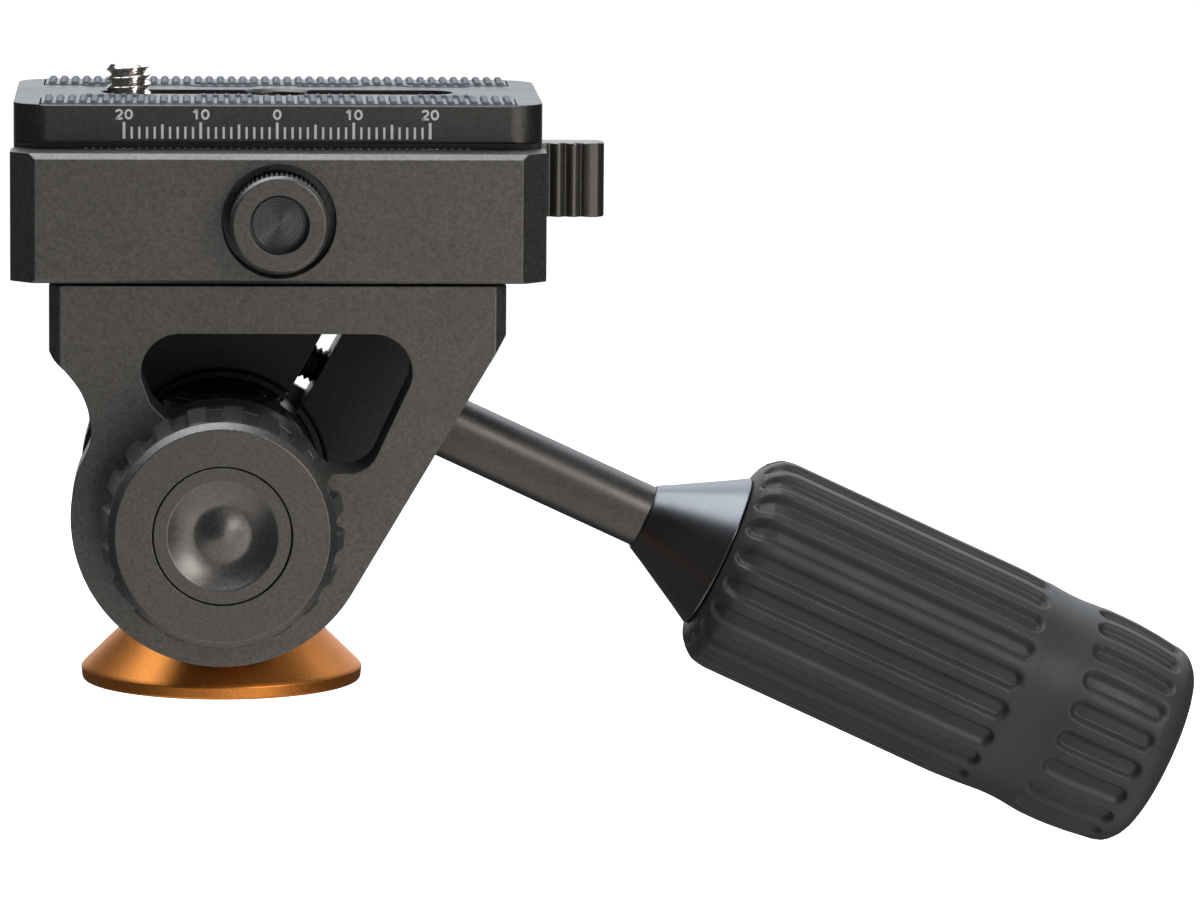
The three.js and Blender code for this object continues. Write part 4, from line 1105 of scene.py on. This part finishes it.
for i in range(-20, 21):
    if i % 10 == 0:
        stroke(CX - 0.2 + i * PITCH, 73.88, 76.02, 0.36)
    elif i % 5 == 0:
        stroke(CX - 0.2 + i * PITCH, 73.88, 75.75, 0.33)
    else:
        stroke(CX - 0.2 + i * PITCH, 73.88, 75.42, 0.30)


def brush(points, w, closed=False):
    """A painted stroke of width w along points, slightly raised from the plate's front edge."""
    b = len(verts)
    n = len(points)
    for k, (x, z) in enumerate(points):
        p0 = points[(k - 1) % n] if closed else points[max(k - 1, 0)]
        p1 = points[(k + 1) % n] if closed else points[min(k + 1, n - 1)]
        d = (Vector(p1) - Vector(p0)).normalized() * (w / 2)
        for y in (-19.032, -18.95):
            verts.extend([(x - d.y, y, z + d.x), (x + d.y, y, z - d.x)])
    for k in range(n if closed else n - 1):
        p, q = b + 4 * k, b + 4 * ((k + 1) % n)
        faces.extend([(p, p + 1, q + 1, q), (p + 3, p + 2, q + 2, q + 3), (p, q, q + 2, p + 2), (p + 1, p + 3, q + 3, q + 1)])
    if not closed:
        q = b + 4 * (n - 1)
        faces.extend([(b, b + 2, b + 3, b + 1), (q, q + 1, q + 3, q + 2)])


def oval(n=20):
    return [(0.5 + 0.40 * math.cos(2 * math.pi * k / n), 0.5 + 0.415 * math.sin(2 * math.pi * k / n)) for k in range(n)]


GLYPHS = {
    "0": [(oval(), True)],
    "1": [([(0.17, 0.70), (0.36, 0.80), (0.52, 0.96)], False), ([(0.585, 0.985), (0.585, 0.0)], False)],
    "2": [([(0.10, 0.72), (0.20, 0.86), (0.47, 0.92), (0.74, 0.85), (0.84, 0.69), (0.74, 0.52), (0.46, 0.33), (0.14, 0.09)], False), ([(0.05, 0.085), (0.92, 0.085)], False)],
}
for i in (-20, -10, 0, 10, 20):
    label = str(abs(i))
    wide, gap = 1.04, 0.17
    x0 = CX - 0.2 + i * PITCH - (wide * len(label) + gap * (len(label) - 1)) / 2
    for ch in label:
        for line, closed in GLYPHS[ch]:
            brush([(x0 + px * wide, 76.38 + pz * 1.32) for px, pz in line], 0.285, closed)
        x0 += wide + gap
piece("plate_scale_marks", mesh_from("scale", verts, faces), m_paint, "plate", (), degrees=30, weighted=False)

# a second scale lies on the clamp's near lip, seen in the gap below the plate
verts, faces = [], []


def dash(x, w, y0=-18.35, y1=-17.35):
    b = len(verts)
    for z in (CLAMP_Z1 - 0.03, CLAMP_Z1 + 0.03):
        verts.extend([(x - w / 2, y0, z), (x + w / 2, y0, z), (x + w / 2, y1, z), (x - w / 2, y1, z)])
    faces.extend([(b + 3, b + 2, b + 1, b), (b + 4, b + 5, b + 6, b + 7)])
    faces.extend([(b + i, b + (i + 1) % 4, b + 4 + (i + 1) % 4, b + 4 + i) for i in range(4)])


for i in range(-25, 26):
    x = CX - 0.2 + i * PITCH
    dash(x, 0.34 if i % 5 == 0 else 0.28)
    if i % 10 == 0:
        for d in (-0.78, -0.42, 0.42, 0.78):
            dash(x + d, 0.16, -18.9, -18.45)
piece("clamp_scale_marks", mesh_from("scale", verts, faces), m_paint, "tilt_head", (), degrees=30, weighted=False)

# camera screw: 1/4 inch thread
SA = axis_z(CX - 19.7, 0.0)
TOP = axis_z(CX - 19.6, 0.0)
screw = soft([(0, 70.2), (6.6, 70.2, 0.1), (7.0, 70.6, 0.1), (7.0, 72.1, 0.15), (2.60, 72.1)])
screw += [(2.7, h) for h in np.arange(72.35, 81.75, 0.085)]
screw += [(2.40, 81.95), (2.15, 82.18), (1.6, 82.27), (0, 82.3)]
cam_thread = thread(2.34, 0.60, 1.27, 72.3, 81.8, 0.45)
screw = lathe(screw, TOP, 72, cam_thread)
hexa = [(CX - 19.7 + 2.4 * math.cos(math.pi * k / 3), 2.4 * math.sin(math.pi * k / 3)) for k in range(6)]
screw = carve(screw, cuts=[prism(hexa, 69.0, 71.8, "z")])
rebuild("camera_screw", screw, m_nickel, degrees=38)
rebuild(
    "screw_retainer",
    turned([(3.35, 72.3), (6.9, 72.3, 0.1), (6.9, 73.0, 0.1), (3.35, 73.0), (3.35, 72.3)], SA, 72),
    m_polymer,
)

# ------------------------------------------------------------------ handle
stud = [(0, -11.2), (2.1, -11.2), (2.42, -10.8)]
stud += [(2.45, h) for h in np.arange(-10.4, 15.6, 0.1)]
stud += [(2.42, 15.8), (2.42, 30.0), (0, 30.0)]
m5 = thread(2.06, 0.42, 0.8, -10.45, 15.65, 0.4)
rebuild("handle_stud", lathe(stud, HANDLE, 40, m5), m_dark_steel, degrees=50)

rebuild(
    "handle_rod",
    turned(
        [(0, 30.5), (2.75, 30.5), (2.75, 16.45), (3.95, 16.45, 0.1), (4.32, 16.83, 0.15), (4.32, 118.0, 0.2), (0, 118.0)],
        HANDLE,
        128,
    ),
    m_rod,
)
rebuild(
    "handle_ferrule",
    turned(
        [(4.42, 49.9), (4.55, 49.9, 0.03), (4.70, 50.1, 0.06), (5.70, 52.0), (7.38, 55.0), (9.05, 58.0), (10.2, 60.0), (10.75, 60.9, 0.2), (10.8, 61.15, 0.1), (4.42, 61.15), (4.42, 49.9)],
        HANDLE,
        160,
    ),
    m_gloss,
)

GROOVES = 21
PHASE = -9.6  # degrees below the side that faces the knob
G_R = 14.75


def smooth01(x):
    x = np.clip(x, 0, 1)
    return x * x * (3 - 2 * x)


def grip_shape(th, r, s):
    """Two rows of long rounded grooves pressed into the skin."""
    if r < 11.4 or s < 61.7 or s > 126.2:
        return np.full(len(th), r)
    # below-the-side angle: th runs from H1 (up) to H2 (near side)
    below = 90.0 - np.degrees(th)
    below = -(np.degrees(th) - 90.0) * -1.0
    below = np.degrees(th) - 90.0
    x = (below - PHASE) * GROOVES / 360.0
    d_arc = (x - np.round(x)) * (360.0 / GROOVES) * math.pi / 180 * 15.0
    out = np.zeros(len(th))
    half = 1.46
    for s0, s1 in ((61.9, 104.5), (112.0, 124.6)):
        a, b = s0 + half, s1 - half
        ds = max(a - s, 0.0, s - b)
        dist = np.sqrt(d_arc**2 + ds**2) - half
        out = np.maximum(out, smooth01((0.22 - dist) / 0.95))
    return r - 1.05 * out


def grip_radius(s):
    pts = [(61.4, 11.0), (61.6, 11.9), (62.0, 12.95), (63.0, 14.1), (64.2, 14.98), (66.0, 15.30), (90.0, 15.30), (100.0, 15.34), (104.0, 15.14), (106.0, 15.0), (108.0, 14.82), (110.0, 14.82), (112.0, 15.02), (114.0, 15.24), (117.0, 15.28), (120.0, 15.08), (123.0, 14.72), (125.0, 14.46), (126.0, 14.12), (126.6, 13.7), (129, 12.0)]
    for (a, ra), (b, rb) in zip(pts, pts[1:]):
        if a <= s <= b:
            return ra + (rb - ra) * (s - a) / (b - a)
    return 0.0


def grip_profile():
    ss = list(np.arange(61.4, 62.6, 0.15)) + list(np.arange(62.6, 66.8, 0.24)) + list(np.linspace(66.8, 100.8, 18))
    ss += list(np.arange(101.4, 105.6, 0.24)) + list(np.arange(105.6, 111.4, 0.7)) + list(np.arange(111.5, 115.0, 0.24))
    ss += list(np.linspace(115.3, 121.3, 7)) + list(np.arange(121.7, 125.8, 0.24))
    raw = [(grip_radius(s), s) for s in ss]
    rr = np.array([p[0] for p in raw])
    for _ in range(2):  # take the corners off the outline
        rr[1:-1] = 0.25 * rr[:-2] + 0.5 * rr[1:-1] + 0.25 * rr[2:]
    out = [(float(r), float(s)) for r, (_, s) in zip(rr, raw)]
    return out + [(14.12, 126.0), (13.78, 126.5), (13.3, 127.0), (12.7, 127.5), (12.0, 127.9), (11.1, 128.2), (10.0, 128.42), (8.0, 128.6), (5.0, 128.72), (2.5, 128.76), (0, 128.77)]


grip = [(0, 126.4), (4.5, 126.4), (4.5, 124.8), (9.7, 124.8), (9.7, 61.4)] + grip_profile()
rebuild("rubber_grip", lathe(grip, HANDLE, GROOVES * 16, grip_shape), m_rubber, degrees=50, weighted=False)

# ------------------------------------------------------------------ materials of the nodes that stay as they are
KEEP = {
    "spindle_spring_washer": m_steel,
    "spindle_nut": m_steel,
    "pan_sleeve": m_bronze,
    "lock_shoe": m_bronze,
    "damping_rotor": m_steel,
    "chamber_seal": m_rubber,
    "arm_screw_front_left": m_dark_steel,
    "arm_screw_front_right": m_dark_steel,
    "arm_screw_rear_left": m_dark_steel,
    "arm_screw_rear_right": m_dark_steel,
    "jaw_guide_pin_left": m_steel,
    "jaw_guide_pin_right": m_steel,
    "jaw_spring_left": m_steel,
    "jaw_spring_right": m_steel,
    "stop_screw_left": m_dark_steel,
    "stop_screw_right": m_dark_steel,
    "grip_core": m_plastic,
    "grip_end_screw": m_steel,
}
for n, o in NODES.items():
    if o.hide_render:
        continue
    o.data.materials.clear()
    o.data.materials.append(KEEP.get(n, m_steel))

# ------------------------------------------------------------------ studio


def stage_mesh(name, verts, faces, color, glow):
    me = bpy.data.meshes.new(name)
    me.from_pydata(verts, [], faces)
    me.update()
    m = bpy.data.materials.new(name)
    m.use_nodes = True
    b = m.node_tree.nodes["Principled BSDF"]
    b.inputs["Base Color"].default_value = (*color, 1)
    b.inputs["Roughness"].default_value = 0.9
    b.inputs["Emission Color"].default_value = (1, 1, 1, 1)
    b.inputs["Emission Strength"].default_value = glow
    me.materials.append(m)
    o = bpy.data.objects.new(name, me)
    scene.collection.objects.link(o)
    return o


# a plain white floor, low enough for the handle at full tilt, and the white surround behind it; both only show to the camera
n = 96
ring = [(1.6 * math.cos(2 * math.pi * i / n), 1.6 * math.sin(2 * math.pi * i / n), -0.16) for i in range(n)]
floor = stage_mesh("studio_floor", ring, [tuple(range(n))], (0.9, 0.9, 0.9), 1.0)
verts, faces = [], []
for j in range(13):
    e = math.pi * (j / 12 - 0.5)
    for i in range(n):
        a = 2 * math.pi * i / n
        verts.append((6 * math.cos(e) * math.cos(a), 6 * math.cos(e) * math.sin(a), 6 * math.sin(e)))
for j in range(12):
    for i in range(n):
        faces.append((j * n + i, j * n + (i + 1) % n, (j + 1) * n + (i + 1) % n, (j + 1) * n + i))
surround = stage_mesh("studio_surround", verts, faces, (0.9, 0.9, 0.9), 1.0)
for o in (floor, surround):
    o.visible_diffuse = False
    o.visible_glossy = False
    o.visible_transmission = False
    o.visible_shadow = False

world = bpy.data.worlds.new("studio")
world.use_nodes = True
world.node_tree.nodes["Background"].inputs[0].default_value = (0.9, 0.95, 1.0, 1)
world.node_tree.nodes["Background"].inputs[1].default_value = 0.07
scene.world = world

AIM = Vector((0.03, 0.0, 0.045))


def softbox(name, direction, distance, w, h, radiance, color=(1, 1, 1)):
    d = Vector(direction).normalized()
    light = bpy.data.lights.new(name, "AREA")
    light.shape = "RECTANGLE"
    light.size, light.size_y = w, h
    light.energy = 4.0 * w * h * radiance
    light.color = color
    o = bpy.data.objects.new(name, light)
    scene.collection.objects.link(o)
    o.location = AIM + d * distance
    o.rotation_mode = "QUATERNION"
    o.rotation_quaternion = (-d).to_track_quat("-Z", "Y")
    o.visible_camera = False
    return o


softbox("key", (0.56, -0.69, 0.42), 0.9, 0.28, 0.28, 7.5, (1.0, 0.97, 0.94))
softbox("front_fill", (0.40, -0.88, -0.20), 1.5, 1.2, 1.0, 0.64, (1.0, 0.985, 0.965))
softbox("zenith", (-0.25, 0.12, 1.0), 0.9, 1.0, 0.9, 2.6, (0.87, 0.935, 1.0))
softbox("cool_back", (0.24, 0.76, 0.58), 1.1, 1.5, 0.7, 1.45, (0.84, 0.915, 1.0))
softbox("rear_wall", (0.0, 1.0, 0.08), 1.6, 1.5, 0.62, 0.92)
softbox("floor_bounce", (0.05, -0.45, -1.0), 0.6, 1.2, 1.0, 0.45, (1.0, 0.98, 0.96))

# ------------------------------------------------------------------ camera
cam = bpy.data.cameras.new("camera")
cam.sensor_fit = "HORIZONTAL"
cam.sensor_width = 36.0
cam.lens = 7241.5 / 1200 * 36.0
cam.clip_start, cam.clip_end = 0.05, 20.0
camera = bpy.data.objects.new("camera", cam)
scene.collection.objects.link(camera)
yaw, pitch, roll = math.radians(3.178), math.radians(7.906), math.radians(0.464)
fw = Vector((math.sin(yaw) * math.cos(pitch), math.cos(yaw) * math.cos(pitch), -math.sin(pitch)))
rt = Vector((math.cos(yaw), -math.sin(yaw), 0.0))
up = rt.cross(fw)
rt, up = math.cos(roll) * rt + math.sin(roll) * up, -math.sin(roll) * rt + math.cos(roll) * up
camera.matrix_world = Matrix(
    (
        (rt.x, up.x, -fw.x, -0.00265),
        (rt.y, up.y, -fw.y, -0.9552),
        (rt.z, up.z, -fw.z, 0.1634),
        (0, 0, 0, 1),
    )
)
scene.camera = camera

scene.view_settings.view_transform = "Standard"
scene.view_settings.look = "None"
scene.view_settings.exposure = 0.0
scene.view_settings.gamma = 1.0
